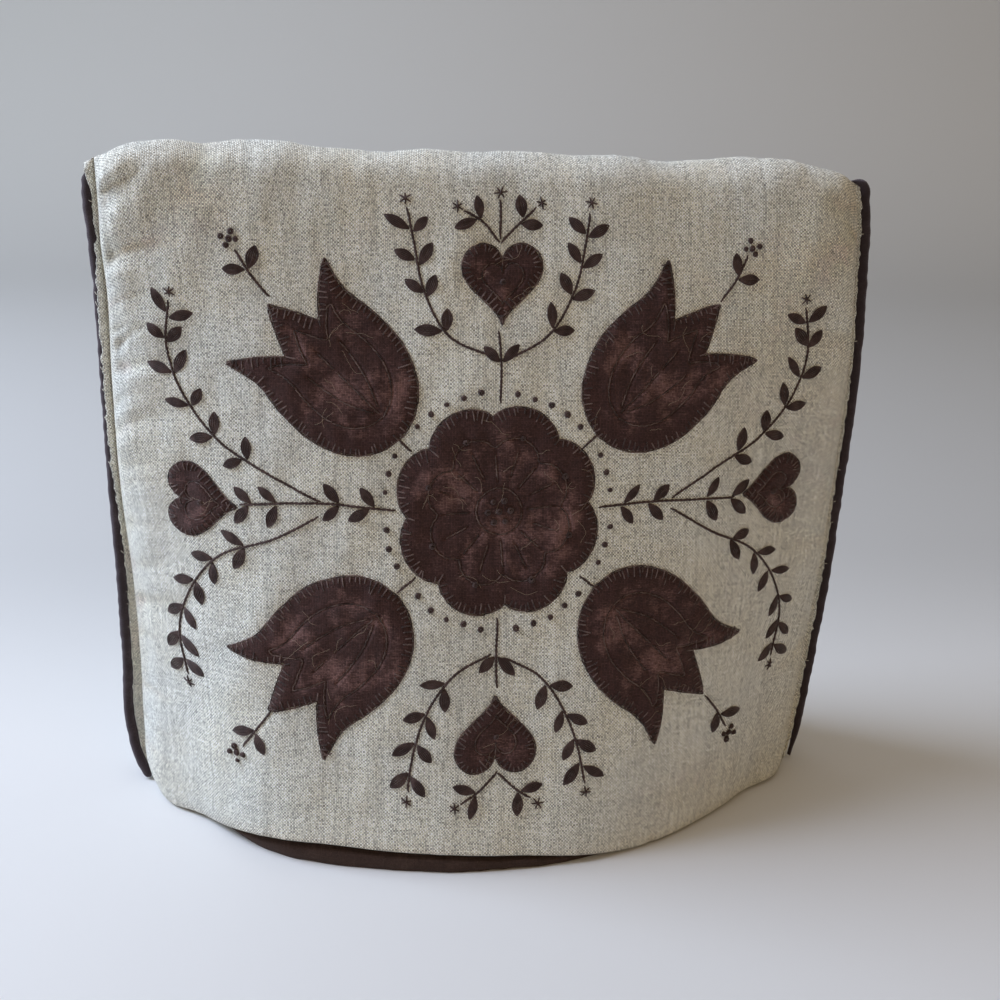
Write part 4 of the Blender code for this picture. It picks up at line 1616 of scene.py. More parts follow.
class Needlework:
    """All the embroidery of the front, stitch by stitch."""

    # The stitches on the patches are of the dusty floss with painted glints
    on_patches = ("edge", "vein")

    def __init__(
        self, skin: Skin, grooves: DentMap, patches: list[Patch], sizes: StitchSizes
    ) -> None:
        """Gets ready to sew.

        Args:
            skin: The cover's front.
            grooves: What the stitches press into the patches.
            patches: The patches on the front.
            sizes: Measures of the embroidery.
        """
        self.skin, self.grooves, self.patches, self.sizes = skin, grooves, patches, sizes
        self.random = np.random.default_rng(7)
        self.linen = Ground(skin, grooves)
        names = ("edge", "stem", "vein", "leaf", "knot", "star")
        self.work = {name: ThreadMesh() for name in names}

    @staticmethod
    def stitched_lines(sizes: StitchSizes) -> list[tuple[LineRow, Array]]:
        """Every stitched line of the linen, in metres, with the mirrored ones unevenly repeated."""
        random = np.random.default_rng(17)
        made = []
        for row in LINES:
            places = np.array(row.places, float)
            for side, shift in zip((1, -1)[: 1 + row.mirrored], sizes.hand_shift):
                moved = places * (side, 1) + random.normal(0, shift, places.shape)
                made.append((row, moved * MM))
        return made

    @classmethod
    def dent(cls, dents: DentMap, patches: list[Patch], sizes: StitchSizes) -> None:
        """Presses into the linen what the stitches and the patches' edges pull in."""
        for _, places in cls.stitched_lines(sizes):
            dents.press(smooth_line(places, sizes.dent_pitch), *sizes.line_dent)
        for patch in patches:
            dents.press(patch.outline[::2], *sizes.patch_dent)

    def straight(
        self, work: ThreadMesh, ground: Ground, start: Array, end: Array,
        thread: float, rise: float,
    ) -> None:
        """Sews one straight stitch, sunk at both ends.

        Args:
            work: Where the thread goes.
            ground: What is sewn on.
            start: Start of the stitch on the elevation.
            end: End of the stitch.
            thread: Radius of the thread.
            rise: Extra height of the stitch's middle.
        """
        t = np.linspace(0, 1, 7)
        places = start + (end - start) * t[:, None]
        lie = self.sizes.star_lie
        lift = lie.lift(t, thread, self.sizes.sunk) + arched(t, 0.5) * rise
        work.lay(ground, places[None], lift[None], lie.radii(t, thread))

    def rope(
        self, work: ThreadMesh, ground: Ground, line: Array, thread: float,
        length: float, pitch: float, closed: bool = False,
    ) -> None:
        """Sews stem stitch along a line: slanted stitches that each start beside the last.

        Args:
            work: Where the thread goes.
            ground: What is sewn on.
            line: Places along the line, close together.
            thread: Radius of the thread.
            length: Length of a stitch.
            pitch: Distance from one stitch to the next.
            closed: Whether the line comes back to its start.
        """
        sizes, random = self.sizes, self.random
        if closed:
            line = np.concatenate([line, line[:1]])
        run, t = run_along(line), np.linspace(0, 1, sizes.stitch_places)
        count = max(1, round((run[-1] - length * 0.5) / pitch))
        first = np.arange(count) * pitch + random.normal(0, pitch * sizes.leg_jog, count)
        at = first[:, None] + t * length * random.normal(1, sizes.stem_varied, (count, 1))
        at = np.clip(at, 0, run[-1])
        places = np.stack([np.interp(at, run, line[:, n]) for n in (0, 1)], -1)
        way = unit(np.stack([np.interp(at, run, d) for d in np.gradient(line, axis=0).T], -1))
        slant = (2 * t - 1) * sizes.stem_sideways * thread / sizes.thread
        places = places + quarter_turn(way) * slant[:, None]
        uneven = random.normal(0, sizes.stem_jitter, (count, 1))
        lift = sizes.stem_lie.lift(t, thread, sizes.sunk) + uneven
        work.lay(ground, places, lift, sizes.stem_lie.radii(t, thread))

    def blanket(self, patch: Patch) -> None:
        """Sews blanket stitch round a patch: legs that point inwards, and a bar along the edge."""
        sizes, random, thread = self.sizes, self.random, self.sizes.blanket_thread
        outline, edge_lift = patch.outline, patch.sizes.edge_lift
        count = self.leg_count(patch)
        at = (np.arange(count) + random.normal(0, sizes.leg_jog, count)) * len(outline) / count
        index = np.round(at).astype(int) % len(outline)
        foot, way = outline[index], patch.inwards()[index]
        legs = sizes.blanket_leg + random.normal(0, sizes.leg_jitter, count)
        legs = np.minimum(np.minimum(legs, sizes.leg_longest), sizes.leg_share * patch.row.width)
        way = unit(way + quarter_turn(way) * random.normal(0, sizes.leg_lean, count)[:, None])
        places = foot[:, None] + way[:, None] * (legs[:, None] * sizes.leg_reach)[..., None]
        lift = np.maximum(patch.top(places, self.grooves), 0) + np.array(sizes.leg_over) * thread
        for place, share in zip((6, 7), sizes.leg_ends):
            lift[:, place] = edge_lift * share + thread * 0.4
        self.work["edge"].lay(self.linen, places, lift, thread * np.array(sizes.leg_full))
        t = np.linspace(0, 1, 7)
        bars = foot[:, None] + (np.roll(foot, -1, axis=0) - foot)[:, None] * t[:, None]
        near, bow, jitter = sizes.bar_out
        out = near + bow * np.sin(math.pi * t) + random.normal(0, jitter, (count, 1))
        bars = bars - way[:, None] * out[..., None]
        ends = np.cos(2 * math.pi * t)
        rise, full = (even + more * ends for even, more in (sizes.bar_rise, sizes.bar_full))
        lift = thread * rise + sizes.bar_lift + 0 * out
        self.work["edge"].lay(self.linen, bars, lift, thread * full)

    def leg_count(self, patch: Patch) -> int:
        """Number of blanket stitches round a patch."""
        return round(len(patch.outline) * patch.sizes.pitch / self.sizes.blanket_pitch)

    def groove_legs(self) -> None:
        """Presses the legs of the blanket stitches and the veins into the patches."""
        reach = np.linspace(*self.sizes.groove_reach, 5)[:, None]
        for patch in self.patches:
            outline, inward, count = patch.outline, patch.inwards(), self.leg_count(patch)
            for k in np.round(np.arange(count) * len(outline) / count).astype(int) % len(outline):
                self.grooves.press(outline[k] + inward[k] * reach, *self.sizes.leg_groove)
            for line, closed in self.vein_lines(patch):
                dense = smooth_line(line, self.sizes.groove_pitch, closed)
                self.grooves.press(dense + self.sizes.vein_aside, *self.sizes.vein_groove)

    @staticmethod
    def vein_lines(patch: Patch) -> list[tuple[Array, bool]]:
        """Lines stitched inside a patch, and whether each is closed."""
        made = []
        if patch.row.shape == "rose":
            turn = np.linspace(0, 2 * math.pi, 48, endpoint=False)
            lobe = np.abs(np.sin(turn * Shape.scallops / 2)) ** Shape.rose_vein_shape
            lobed = Shape.rose_vein + Shape.rose_vein_lobe * lobe
            made += [(spokes(turn, lobed), True), (spokes(turn, Shape.rose_ring)[::4], True)]
            for k in range(Shape.scallops):
                for half, first, last in Shape.rose_rays:
                    way = spokes((k + half) * math.pi / 4)
                    made.append((np.linspace(first, last, 4)[:, None] * way, False))
        elif patch.row.shape == "tulip":
            size, shift = Shape.tulip_vein
            made.append(((Shape.tulip() * size + shift)[::8], True))
            made.append((Shape.tulip_middle, False))
            made += [(Shape.tulip_side * (side, 1), False) for side in (-1, 1)]
        else:
            made.append((Shape.heart()[::24] * Shape.heart_vein, True))
        return [(patch.place(line), closed) for line, closed in made]

    def veins(self, patch: Patch) -> None:
        """Sews the lines and knots inside a patch."""
        sizes = self.sizes
        ground = Ground(self.skin, self.grooves, patch)
        for line, closed in self.vein_lines(patch):
            self.rope(
                self.work["vein"], ground, smooth_line(line, sizes.worked_places, closed),
                sizes.vein_thread, sizes.vein_length, sizes.vein_pitch, closed,
            )
        if patch.row.shape == "rose":
            near, far = Shape.rose_knots
            middle = spokes(np.arange(6) * math.pi / 3, near)
            self.knots(patch.place(np.concatenate([[(0.0, 0.0)], middle])), ground)
            self.knots(patch.place(spokes((np.arange(8) + 0.5) * math.pi / 4, far)), ground)
        if patch.row.shape == "heart":
            self.knots(patch.place(Shape.heart_knot), ground)

    def knots(self, places: Array, ground: Ground) -> None:
        """Sews French knots: a coil of thread that rises to a small dome."""
        sizes, t = self.sizes, np.linspace(0, 1, self.sizes.knot_places)
        low, rise, power = sizes.knot_lift
        closing, bend = sizes.knot_closing
        lift = sizes.thread * (low + rise * t**power)
        radii = sizes.thread * np.full(len(t), sizes.knot_full)
        for place in places:
            grown = sizes.knot_radius * self.random.normal(1, sizes.knot_varied[0])
            turn = self.random.uniform(0, 2 * math.pi) + t * 2 * math.pi * sizes.knot_coils
            coil = spokes(turn, grown * (1.0 - closing * t**bend))
            coil = coil * (1, self.random.normal(1, sizes.knot_varied[1]))
            self.work["knot"].lay(ground, (place + coil)[None], lift[None], radii)

    def star(self, place: Array) -> None:
        """Sews a six-legged star: three straight stitches crossed over each other."""
        sizes, turn = self.sizes, self.random.uniform(0, math.pi)
        for k in range(3):
            angle = turn + k * math.pi / 3 + self.random.normal(0, sizes.star_varied[0])
            way = spokes(angle) * (sizes.star_reach * self.random.normal(1, sizes.star_varied[1]))
            self.straight(
                self.work["star"], self.linen, place - way, place + way,
                sizes.thread * sizes.star_thread, sizes.star_rise * k,
            )

    def leaf(self, root: Array, way: Array) -> None:
        """Sews a leaf: two rounded sides that meet at the tip, and stitches that fill it."""
        sizes, random = self.sizes, self.random
        length = sizes.leaf_length * random.normal(1, sizes.leaf_varied[0])
        width = sizes.leaf_width * random.normal(1, sizes.leaf_varied[1])
        t = np.linspace(0, 1, 11)
        radii = sizes.thread * (sizes.leaf_full[0] + sizes.leaf_full[1] * arched(t, 1))
        start, end, power = sizes.leaf_arch
        arch = arched(np.clip(t, start, end), power)
        (least, more), (low, high), (skew, round_) = (
            sizes.leaf_last, sizes.leaf_lift, sizes.leaf_belly
        )
        for side in np.linspace(-1, 1, sizes.leaf_stitches):
            first = sizes.leaf_first * random.random()
            last = 1 - (least + more * random.random()) * (1 - side**2)
            run = first + (last - first) * t
            belly = side * width / 2 * arched(run**skew, round_)
            places = root + way * (length * run)[:, None] + quarter_turn(way) * belly[:, None]
            lift = sizes.thread * (low + (high + random.normal(*sizes.leaf_uneven)) * arch)
            self.work["leaf"].lay(self.linen, places[None], lift[None], radii)

    def leaves(self, line: Array, ways: Array, shares: tuple[float, ...]) -> None:
        """Sews pairs of leaves along a stem, at some shares of its length."""
        for share in shares:
            k = int(share * (len(line) - 1))
            for side in (-1, 1):
                lean = math.radians(self.random.normal(*self.sizes.leaf_lean)) * side
                later = int(self.random.uniform(0, 3)) + (2 if side > 0 else 0)
                j = min(k + later, len(line) - 1)
                way = self.turned(ways[j], lean)
                self.leaf(line[j] + way * self.sizes.leaf_root, way)

    def sew(self) -> None:
        """Sews everything on the linen and the patches."""
        sizes = self.sizes
        for row, places in self.stitched_lines(sizes):
            line = smooth_line(places, sizes.worked_places)
            self.rope(
                self.work["stem"], self.linen, line, sizes.thread, sizes.stem_length,
                sizes.stem_pitch,
            )
            ways = unit(np.gradient(line, axis=0))
            self.leaves(line, ways, row.leaves)
            end, way = line[-1], ways[-1]
            if row.tip is Tip.STAR:
                self.star(end + way * sizes.star_reach)
            elif row.tip is Tip.KNOTS:
                fan = [end + self.turned(way, angle) * reach for angle, reach in sizes.fan]
                self.knots(np.array(fan), self.linen)
        self.knots(self.knot_ring(), self.linen)
        for patch in self.patches:
            self.blanket(patch)
            self.veins(patch)

    @staticmethod
    def turned(way: Array, angle: float) -> Array:
        """A direction turned by an angle in radians."""
        c, s = math.cos(angle), math.sin(angle)
        return np.array([way[0] * c - way[1] * s, way[0] * s + way[1] * c])

    def knot_ring(self) -> Array:
        """Places of the knots round the rose, left out where a stem passes."""
        sizes, full = self.sizes, 2 * math.pi
        turns = np.arange(0, full, full / sizes.ring_knots)
        away = turns[:, None] - np.radians(sizes.ring_gates)
        turns = turns[np.abs((away + math.pi) % full - math.pi).min(1) > sizes.gate_half]
        radius = sizes.ring_radius + self.random.normal(0, sizes.ring_jitter, len(turns))
        return spokes(turns, radius) + (0, sizes.ring_middle)

    def build(self, fresh: Material, glint_floss: Material) -> list[Piece]:
        """Makes one piece for each kind of stitch, of the fresh floss or the dusty one with painted
        glints.
        """
        return [
            work.build(f"{name}_stitches", glint_floss if name in self.on_patches else fresh, "thread")
            for name, work in self.work.items()
        ]


@dataclass(frozen=True)
class Lint:
    """Fine pale fibres caught on the patches."""

    per_rose: int = 24
    per_tulip: int = 11
    per_heart: int = 3
    radius: float = 0.000045
    longest: float = 0.0150
    curl: float = 0.24
    shortest: float = 0.25
    spread: Pair = (0.82, 0.6)
    size: int = 16
    lift: float = 0.00008
    rise: float = 0.00018

    def build(
        self, patches: list[Patch], skin: Skin, grooves: DentMap, material: Material
    ) -> Piece:
        """Scatters the fibres over the patches as one piece.

        Args:
            patches: The patches that the fibres lie on.
            skin: The cover's front.
            grooves: What the stitches press into the patches.
            material: The fibres' material.

        Returns:
            The piece.
        """
        random = np.random.default_rng(23)
        work, size = ThreadMesh(4), self.size
        for patch in patches:
            ground = Ground(skin, grooves, patch)
            for _ in range(getattr(self, f"per_{patch.row.shape}")):
                edge = patch.outline[random.integers(len(patch.outline))]
                out = random.uniform(0.0, self.spread[0]) ** self.spread[1]
                middle = patch.middle + (edge - patch.middle) * out
                length = self.longest * random.uniform(self.shortest, 1.0)
                turn = random.uniform(0, 2 * math.pi)
                turn = turn + np.cumsum(random.normal(0, self.curl, size))
                places = middle + np.cumsum(spokes(turn) * length / size, 0)
                lift = self.rise * np.abs(np.sin(np.linspace(0, 5, size) + turn[0]))
                work.lay(ground, places[None], (self.lift + lift)[None], np.full(size, self.radius))
        return work.build("lint", material, "linen")


@dataclass(frozen=True)
class SeamStitches:
    """Small pale stitches that hold the pipings between the cloths."""

    form: Form
    between: Pair = (0.014, 0.272)
    pitch: float = 0.0052
    jitter: float = 0.0007
    length: float = 0.0019
    radius: float = 0.00017
    skipped: float = 0.80
    past_wrap: float = 0.12
    turns: Pair = (-0.28, 0.34)
    reach: tuple[float, ...] = (0.0008, 0.0009, 0.0008, 0.00035, 0.0002, -0.0001)

    def build(self, material: Material) -> Piece:
        """Sews both seams, as one piece."""
        random = np.random.default_rng(29)
        form, work, reach = self.form, ThreadMesh(6), np.array(self.reach)
        for side in Side:
            for height in np.arange(*self.between, self.pitch):
                if random.random() < self.skipped:
                    continue
                z = np.array(height + random.normal(0, self.jitter))
                wrap = math.radians(float(eased(WRAPS, f"{side.name.lower()}_front", z)))
                turn = wrap + self.past_wrap + np.linspace(*self.turns, len(reach))
                across, ahead = side.value * np.cos(turn), np.sin(turn)
                x = form.seam_out(side, z) - (form.piping_width / 2 + reach) * across
                y = -form.forward(np.array(1.0), z) - (form.piping_depth / 2 + reach) * ahead
                rise = np.linspace(-0.5, 0.5, len(reach)) * self.length * random.normal(0.4, 0.3)
                line = np.stack([x, y, z + rise], -1)
                normals = unit(np.stack([-across, -ahead, 0 * x], -1))
                work.add(line[None], normals[None], np.full(len(reach), self.radius))
        return work.build("seam_stitches", material, "linen")


class Value:
    """Number, vector or colour that a node gives out; sums on it add nodes to its graph."""

    def __init__(self, graph: "Graph", socket: Socket) -> None:
        """Wraps an output socket."""
        self.graph, self.socket = graph, socket

    def __add__(self, other: object) -> "Value":
        """Sum."""
        return self.graph.math("ADD", self, other)

    def __sub__(self, other: object) -> "Value":
        """Difference."""
        return self.graph.math("SUBTRACT", self, other)

    def __rsub__(self, other: float) -> "Value":
        """Difference from a plain number."""
        return self.graph.math("SUBTRACT", other, self)

    def __mul__(self, other: object) -> "Value":
        """Product."""
        return self.graph.math("MULTIPLY", self, other)

    def __truediv__(self, other: object) -> "Value":
        """Ratio."""
        return self.graph.math("DIVIDE", self, other)

    __radd__, __rmul__ = __add__, __mul__


class Graph:
    """Adds and links the nodes of one material or node group."""

    def __init__(self, tree: bpy.types.NodeTree) -> None:
        """Works in a node tree."""
        self.tree = tree

    def node(self, kind: str, inputs: dict | None = None, **settings: object) -> bpy.types.Node:
        """Adds a node.

        Args:
            kind: Blender's name of the node type.
            inputs: What goes into its inputs: linked or plain values, by name or number.
            settings: Other settings of the node.

        Returns:
            The new node.
        """
        made = self.tree.nodes.new(kind)
        for name, value in settings.items():
            setattr(made, name, value)
        for name, value in (inputs or {}).items():
            if isinstance(value, Value):
                self.tree.links.new(value.socket, made.inputs[name])
            else:
                made.inputs[name].default_value = value
        return made

    def out(self, kind: str, inputs: dict, output: int | str = 0, **settings: object) -> Value:
        """Adds a node and gives one of its outputs."""
        return Value(self, self.node(kind, inputs, **settings).outputs[output])

    def math(self, operation: str, *values: object) -> Value:
        """Result of a sum on numbers."""
        return self.out("ShaderNodeMath", dict(enumerate(values)), operation=operation)

    def vector(self, operation: str, *values: object) -> Value:
        """Result of a sum on vectors."""
        return self.out("ShaderNodeVectorMath", dict(enumerate(values)), operation=operation)

    def parts(self, vector: Value) -> tuple[Value, ...]:
        """X, Y and Z of a vector."""
        outputs = self.node("ShaderNodeSeparateXYZ", {0: vector}).outputs
        return tuple(Value(self, socket) for socket in outputs)

    def joined(self, x: object, y: object, z: object = 0.0) -> Value:
        """Vector made of three numbers."""
        return self.out("ShaderNodeCombineXYZ", {0: x, 1: y, 2: z})

    def mix(self, factor: Value, a: object, b: object) -> Value:
        """Blend of two colours."""
        a, b = ((*color, 1) if isinstance(color, tuple) else color for color in (a, b))
        return self.out("ShaderNodeMix", {0: factor, 6: a, 7: b}, 2, data_type="RGBA")

    def scaled(self, color: Value, factor: Value) -> Value:
        """A colour made lighter or darker by a factor."""
        inputs = {0: color, "Scale": factor}
        return self.out("ShaderNodeVectorMath", inputs, operation="SCALE")

    def noise(self, place: Value, scale: object, detail: float = 2.0, rough: float = 0.5) -> Value:
        """Soft noise, about 0 to 1."""
        inputs = {"Vector": place, "Scale": scale, "Detail": detail, "Roughness": rough}
        return self.out("ShaderNodeTexNoise", inputs)

    def random(self, *numbers: object) -> Value:
        """A fixed random number for some whole numbers."""
        return self.out("ShaderNodeTexWhiteNoise", {"Vector": self.joined(*numbers)})

    def ranged(self, value: Value, low: float, high: float, to: tuple = (0.0, 1.0)) -> Value:
        """A value's place in a range, held within it and moved to another range."""
        inputs = {0: value, 1: low, 2: high, 3: to[0], 4: to[1]}
        return self.out("ShaderNodeMapRange", inputs, interpolation_type="SMOOTHSTEP")

    def stored(self, name: str) -> Value:
        """A value stored for each point of a piece."""
        return self.out("ShaderNodeAttribute", {}, "Fac", attribute_name=name)

    def effect(self, tree: bpy.types.NodeTree, **inputs: object) -> dict[str, Value]:
        """Outputs, by name, of a shared node group."""
        made = self.node("ShaderNodeGroup", inputs, node_tree=tree)
        return {socket.name: Value(self, socket) for socket in made.outputs}


class ClothGraph(Graph):
    """Nodes of one cloth or thread material, with the place on the cloth to start from."""

    specular = 0.25
    sheen_roughness = 0.5

    def __init__(
        self, name: str, roughness: float, sheen: float = 0.0, tint: Color = (1, 1, 1)
    ) -> None:
        """Starts the material.

        Args:
            name: Its name.
            roughness: How rough it is.
            sheen: Weight of the soft light on fine hairs.
            tint: Colour of that light.
        """
        self.material = bpy.data.materials.new(name)
        self.material.use_nodes = True
        super().__init__(self.material.node_tree)
        self.shader = self.tree.nodes["Principled BSDF"]
        self.shader.inputs["Roughness"].default_value = roughness
        self.shader.inputs["Specular IOR Level"].default_value = self.specular
        self.shader.inputs["Sheen Weight"].default_value = sheen
        self.shader.inputs["Sheen Roughness"].default_value = self.sheen_roughness
        self.shader.inputs["Sheen Tint"].default_value = (*tint, 1)
        self.place = self.out("ShaderNodeUVMap", {}, uv_map=CLOTH_MAP)

    def finish(self, color: Value, height: Value, distance: float) -> Material:
        """Gives the shader its colour, and bumps of a height, and hands over the material."""
        bump = self.out("ShaderNodeBump", {"Height": height, "Distance": distance, "Strength": 1.0})
        self.tree.links.new(color.socket, self.shader.inputs["Base Color"])
        self.tree.links.new(bump.socket, self.shader.inputs["Normal"])
        return self.material


class Effects:
    """Shader node groups that several materials share, each made once."""

    wander_size = 55.0
    slub_step, slub_stretch, slub_share = 7.31, 0.11, 1.6
    thread_fill = 0.86
    groove_between, groove_depth = (0.10, 0.62), 0.55
    corner_between = (0.20, 0.42)
    mottle_between, speck_between = (0.30, 0.70), (0.70, 0.78)
    fuzz_size, fuzz_share = 9000.0, 0.35
    ply_groove = 0.55

    def __init__(self) -> None:
        """Makes the groups."""
        self.weave = self.plain_weave()
        self.mottle = self.soft_mottle()
        self.twist = self.thread_twist()

    @staticmethod
    def group(name: str, inputs: dict, outputs: tuple) -> tuple[Graph, dict[str, Value]]:
        """Starts a group.

        Args:
            name: Name of the group.
            inputs: Default value of each input; a vector's is None.
            outputs: Names of the outputs, which are all numbers.

        Returns:
            The group's graph, and its inputs by name.
        """
        tree = bpy.data.node_groups.new(name, "ShaderNodeTree")
        for title, value in inputs.items():
            kind = "NodeSocketVector" if value is None else "NodeSocketFloat"
            socket = tree.interface.new_socket(title, in_out="INPUT", socket_type=kind)
            if value is not None:
                socket.default_value = value
        for title in outputs:
            tree.interface.new_socket(title, in_out="OUTPUT", socket_type="NodeSocketFloat")
        graph = Graph(tree)
        start = graph.node("NodeGroupInput").outputs
        return graph, {title: Value(graph, start[title]) for title in inputs}

    @staticmethod
    def ended(graph: Graph, **outputs: Value) -> bpy.types.NodeTree:
        """Links a group's outputs, and gives the group."""
        graph.node("NodeGroupOutput", outputs)
        return graph.tree

    def plain_weave(self) -> bpy.types.NodeTree:
        """Plain weave of uneven threads: its height, each thread's tone, and the gaps, where the
        materials paint shade between and through the threads.
        """
        inputs = {
            "Place": None, "Threads": 900.0, "Wander": 0.0008, "Unevenness": 0.3, "Grain": 0.4,
            "Crossing": 0.0,
        }
        g, start = self.group("plain_weave", inputs, ("Height", "Tone", "Gap"))
        place, threads = start["Place"], start["Threads"]
        wander = [
            (g.noise(g.vector("ADD", place, (apart,) * 3), self.wander_size) - 0.5)
            * start["Wander"]
            for apart in (0.0, 5.3)
        ]
        moved = g.vector("ADD", place, g.joined(*wander))
        x, y, _ = g.parts(g.vector("MULTIPLY", moved, g.joined(threads, threads)))
        wholes, offs, tones, arches = [], [], [], []
        for here, along, seed in ((x, y, 3.7), (y, x, 9.1)):
            whole = g.math("FLOOR", here)
            off = g.math("FRACT", here) - 0.5
            slub_place = g.joined(whole * self.slub_step, along * self.slub_stretch, seed)
            slub = (g.noise(slub_place, 1.0) - 0.5) * self.slub_share
            varied = (g.random(whole, seed) - 0.5 + slub) * start["Unevenness"]
            ratio = off * 2.0 / (varied + self.thread_fill)
            wholes.append(whole)
            offs.append(off)
            tones.append(varied)
            arches.append(g.math("SQRT", g.math("MAXIMUM", 1.0 - ratio * ratio, 0.0)))
        odd = g.math("FLOORED_MODULO", wholes[0] + wholes[1], 2.0) * 2.0 - 1.0
        warp, weft = (
            arch * (g.math("COSINE", off * math.pi) * odd * sign + 0.5)
            for off, arch, sign in zip(offs[::-1], arches, (0.5, -0.5))
        )
        over = g.math("GREATER_THAN", warp, weft)
        grain = (g.random(*wholes, 2.0) - 0.5) * start["Grain"]
        tone = over * tones[0] + (1.0 - over) * tones[1] + grain + (over - 0.5) * start["Crossing"]
        height = g.math("MAXIMUM", warp, weft)
        # The gaps mark where shade falls between the threads and through the holes at their
        # crossings
        corner = g.math("MINIMUM", *(g.math("ABSOLUTE", off) for off in offs))
        groove = g.ranged(height, *self.groove_between, (self.groove_depth, 0.0))
        gap = g.math("MAXIMUM", groove, g.ranged(corner, *self.corner_between))
        return self.ended(g, Height=height, Tone=tone, Gap=gap)

    def soft_mottle(self) -> bpy.types.NodeTree:
        """Slow uneven patches and fine specks."""
        inputs = {"Place": None, "Size": 30.0, "Specks": 700.0}
        g, start = self.group("soft_mottle", inputs, ("Mottle", "Speck"))
        broad = g.noise(start["Place"], start["Size"], 4.0, 0.55)
        fine = g.noise(start["Place"], start["Specks"], 1.0)
        mottle = g.ranged(broad, *self.mottle_between)
        return self.ended(g, Mottle=mottle, Speck=g.ranged(fine, *self.speck_between))

    def thread_twist(self) -> bpy.types.NodeTree:
        """Twisted plies of a thread, from its place along and around, with the grooves between the
        plies as a mask for painted shade.
        """
        inputs = {"Place": None, "Turns": 900.0, "Plies": 700.0}
        g, start = self.group("thread_twist", inputs, ("Height", "Groove"))
        along, around, _ = g.parts(start["Place"])
        run = along * start["Turns"] + around * start["Plies"]
        wave = g.math("ABSOLUTE", g.math("SINE", run * math.pi))
        fuzz = g.noise(start["Place"], self.fuzz_size, 1.0)
        height = g.math("SQRT", wave) + fuzz * self.fuzz_share
        return self.ended(g, Height=height, Groove=g.ranged(wave, 0.0, self.ply_groove, (1.0, 0.0)))


@dataclass(frozen=True)
class Linen:
    """Coarse cream linen with uneven threads, soiled where it is worn, and with painted shade in
    the seams' valleys and the creases.
    """

    cream: Color = (0.94, 0.925, 0.82)
    cool: Color = (0.90, 0.91, 0.85)
    tan: Color = (0.64, 0.50, 0.31)
    olive: Color = (0.55, 0.50, 0.33)
    rust: Color = (0.60, 0.42, 0.33)
    threads: float = 1450.0
    wander: float = 0.0018
    unevenness: float = 0.30
    grain: float = 0.72
    crossing: float = 0.76
    tone: float = 0.75
    coarse: float = 0.90
    coarse_size: float = 820.0
    gap_dark: float = 0.62
    speck_dark: float = 0.16
    mottle_size: float = 26.0
    speck_size: float = 620.0
    kind_size: float = 48.0
    kind_apart: Place = (3.1, 1.7, 0.0)
    kind_between: Pair = (0.42, 0.58)
    rust_size: float = 60.0
    rust_apart: Place = (8.4, 4.2, 0.0)
    rust_between: Pair = (0.54, 0.66)
    patchy_size: float = 160.0
    patchy_between: Pair = (0.10, 0.62)
    patchy_to: Pair = (0.62, 1.15)
    bump: float = 0.00026
    roughness: float = 0.90
    sheen: float = 0.12

    def soil_and_shade_color(self, g: ClothGraph) -> Value:
        """Colour of the soil and of the painted shade, which goes from olive to tan with rusty
        places.
        """
        kind = g.noise(g.vector("ADD", g.place, self.kind_apart), self.kind_size)
        rusty = g.noise(g.vector("ADD", g.place, self.rust_apart), self.rust_size)
        soil_and_shade_color = g.mix(g.ranged(kind, *self.kind_between), self.olive, self.tan)
        return g.mix(g.ranged(rusty, *self.rust_between), soil_and_shade_color, self.rust)

    def make(self, effects: Effects) -> Material:
        """Builds the material."""
        g = ClothGraph("cream_linen", self.roughness, self.sheen)
        weave = g.effect(
            effects.weave, Place=g.place, Threads=self.threads, Wander=self.wander,
            Unevenness=self.unevenness, Grain=self.grain, Crossing=self.crossing,
        )
        mottle = g.effect(
            effects.mottle, Place=g.place, Size=self.mottle_size, Specks=self.speck_size
        )
        patchy = g.noise(g.place, self.patchy_size, 4.0, 0.6)
        # Stored marks: soil and stains, and painted shade in the seams' valleys and the creases
        amount = g.stored(MARKS) * g.ranged(patchy, *self.patchy_between, self.patchy_to)
        color = g.mix(mottle["Mottle"], self.cream, self.cool)
        color = g.mix(g.math("MINIMUM", amount, 1.0), color, self.soil_and_shade_color(g))
        rough = g.noise(g.place, self.coarse_size, 1.0) - 0.5
        tone = weave["Tone"] * self.tone + 1.0 + rough * self.coarse
        # Painted shade in the gaps between the threads
        gap = 1.0 - weave["Gap"] * self.gap_dark
        speck = 1.0 - mottle["Speck"] * self.speck_dark
        return g.finish(g.scaled(color, tone * gap * speck), weave["Height"], self.bump)


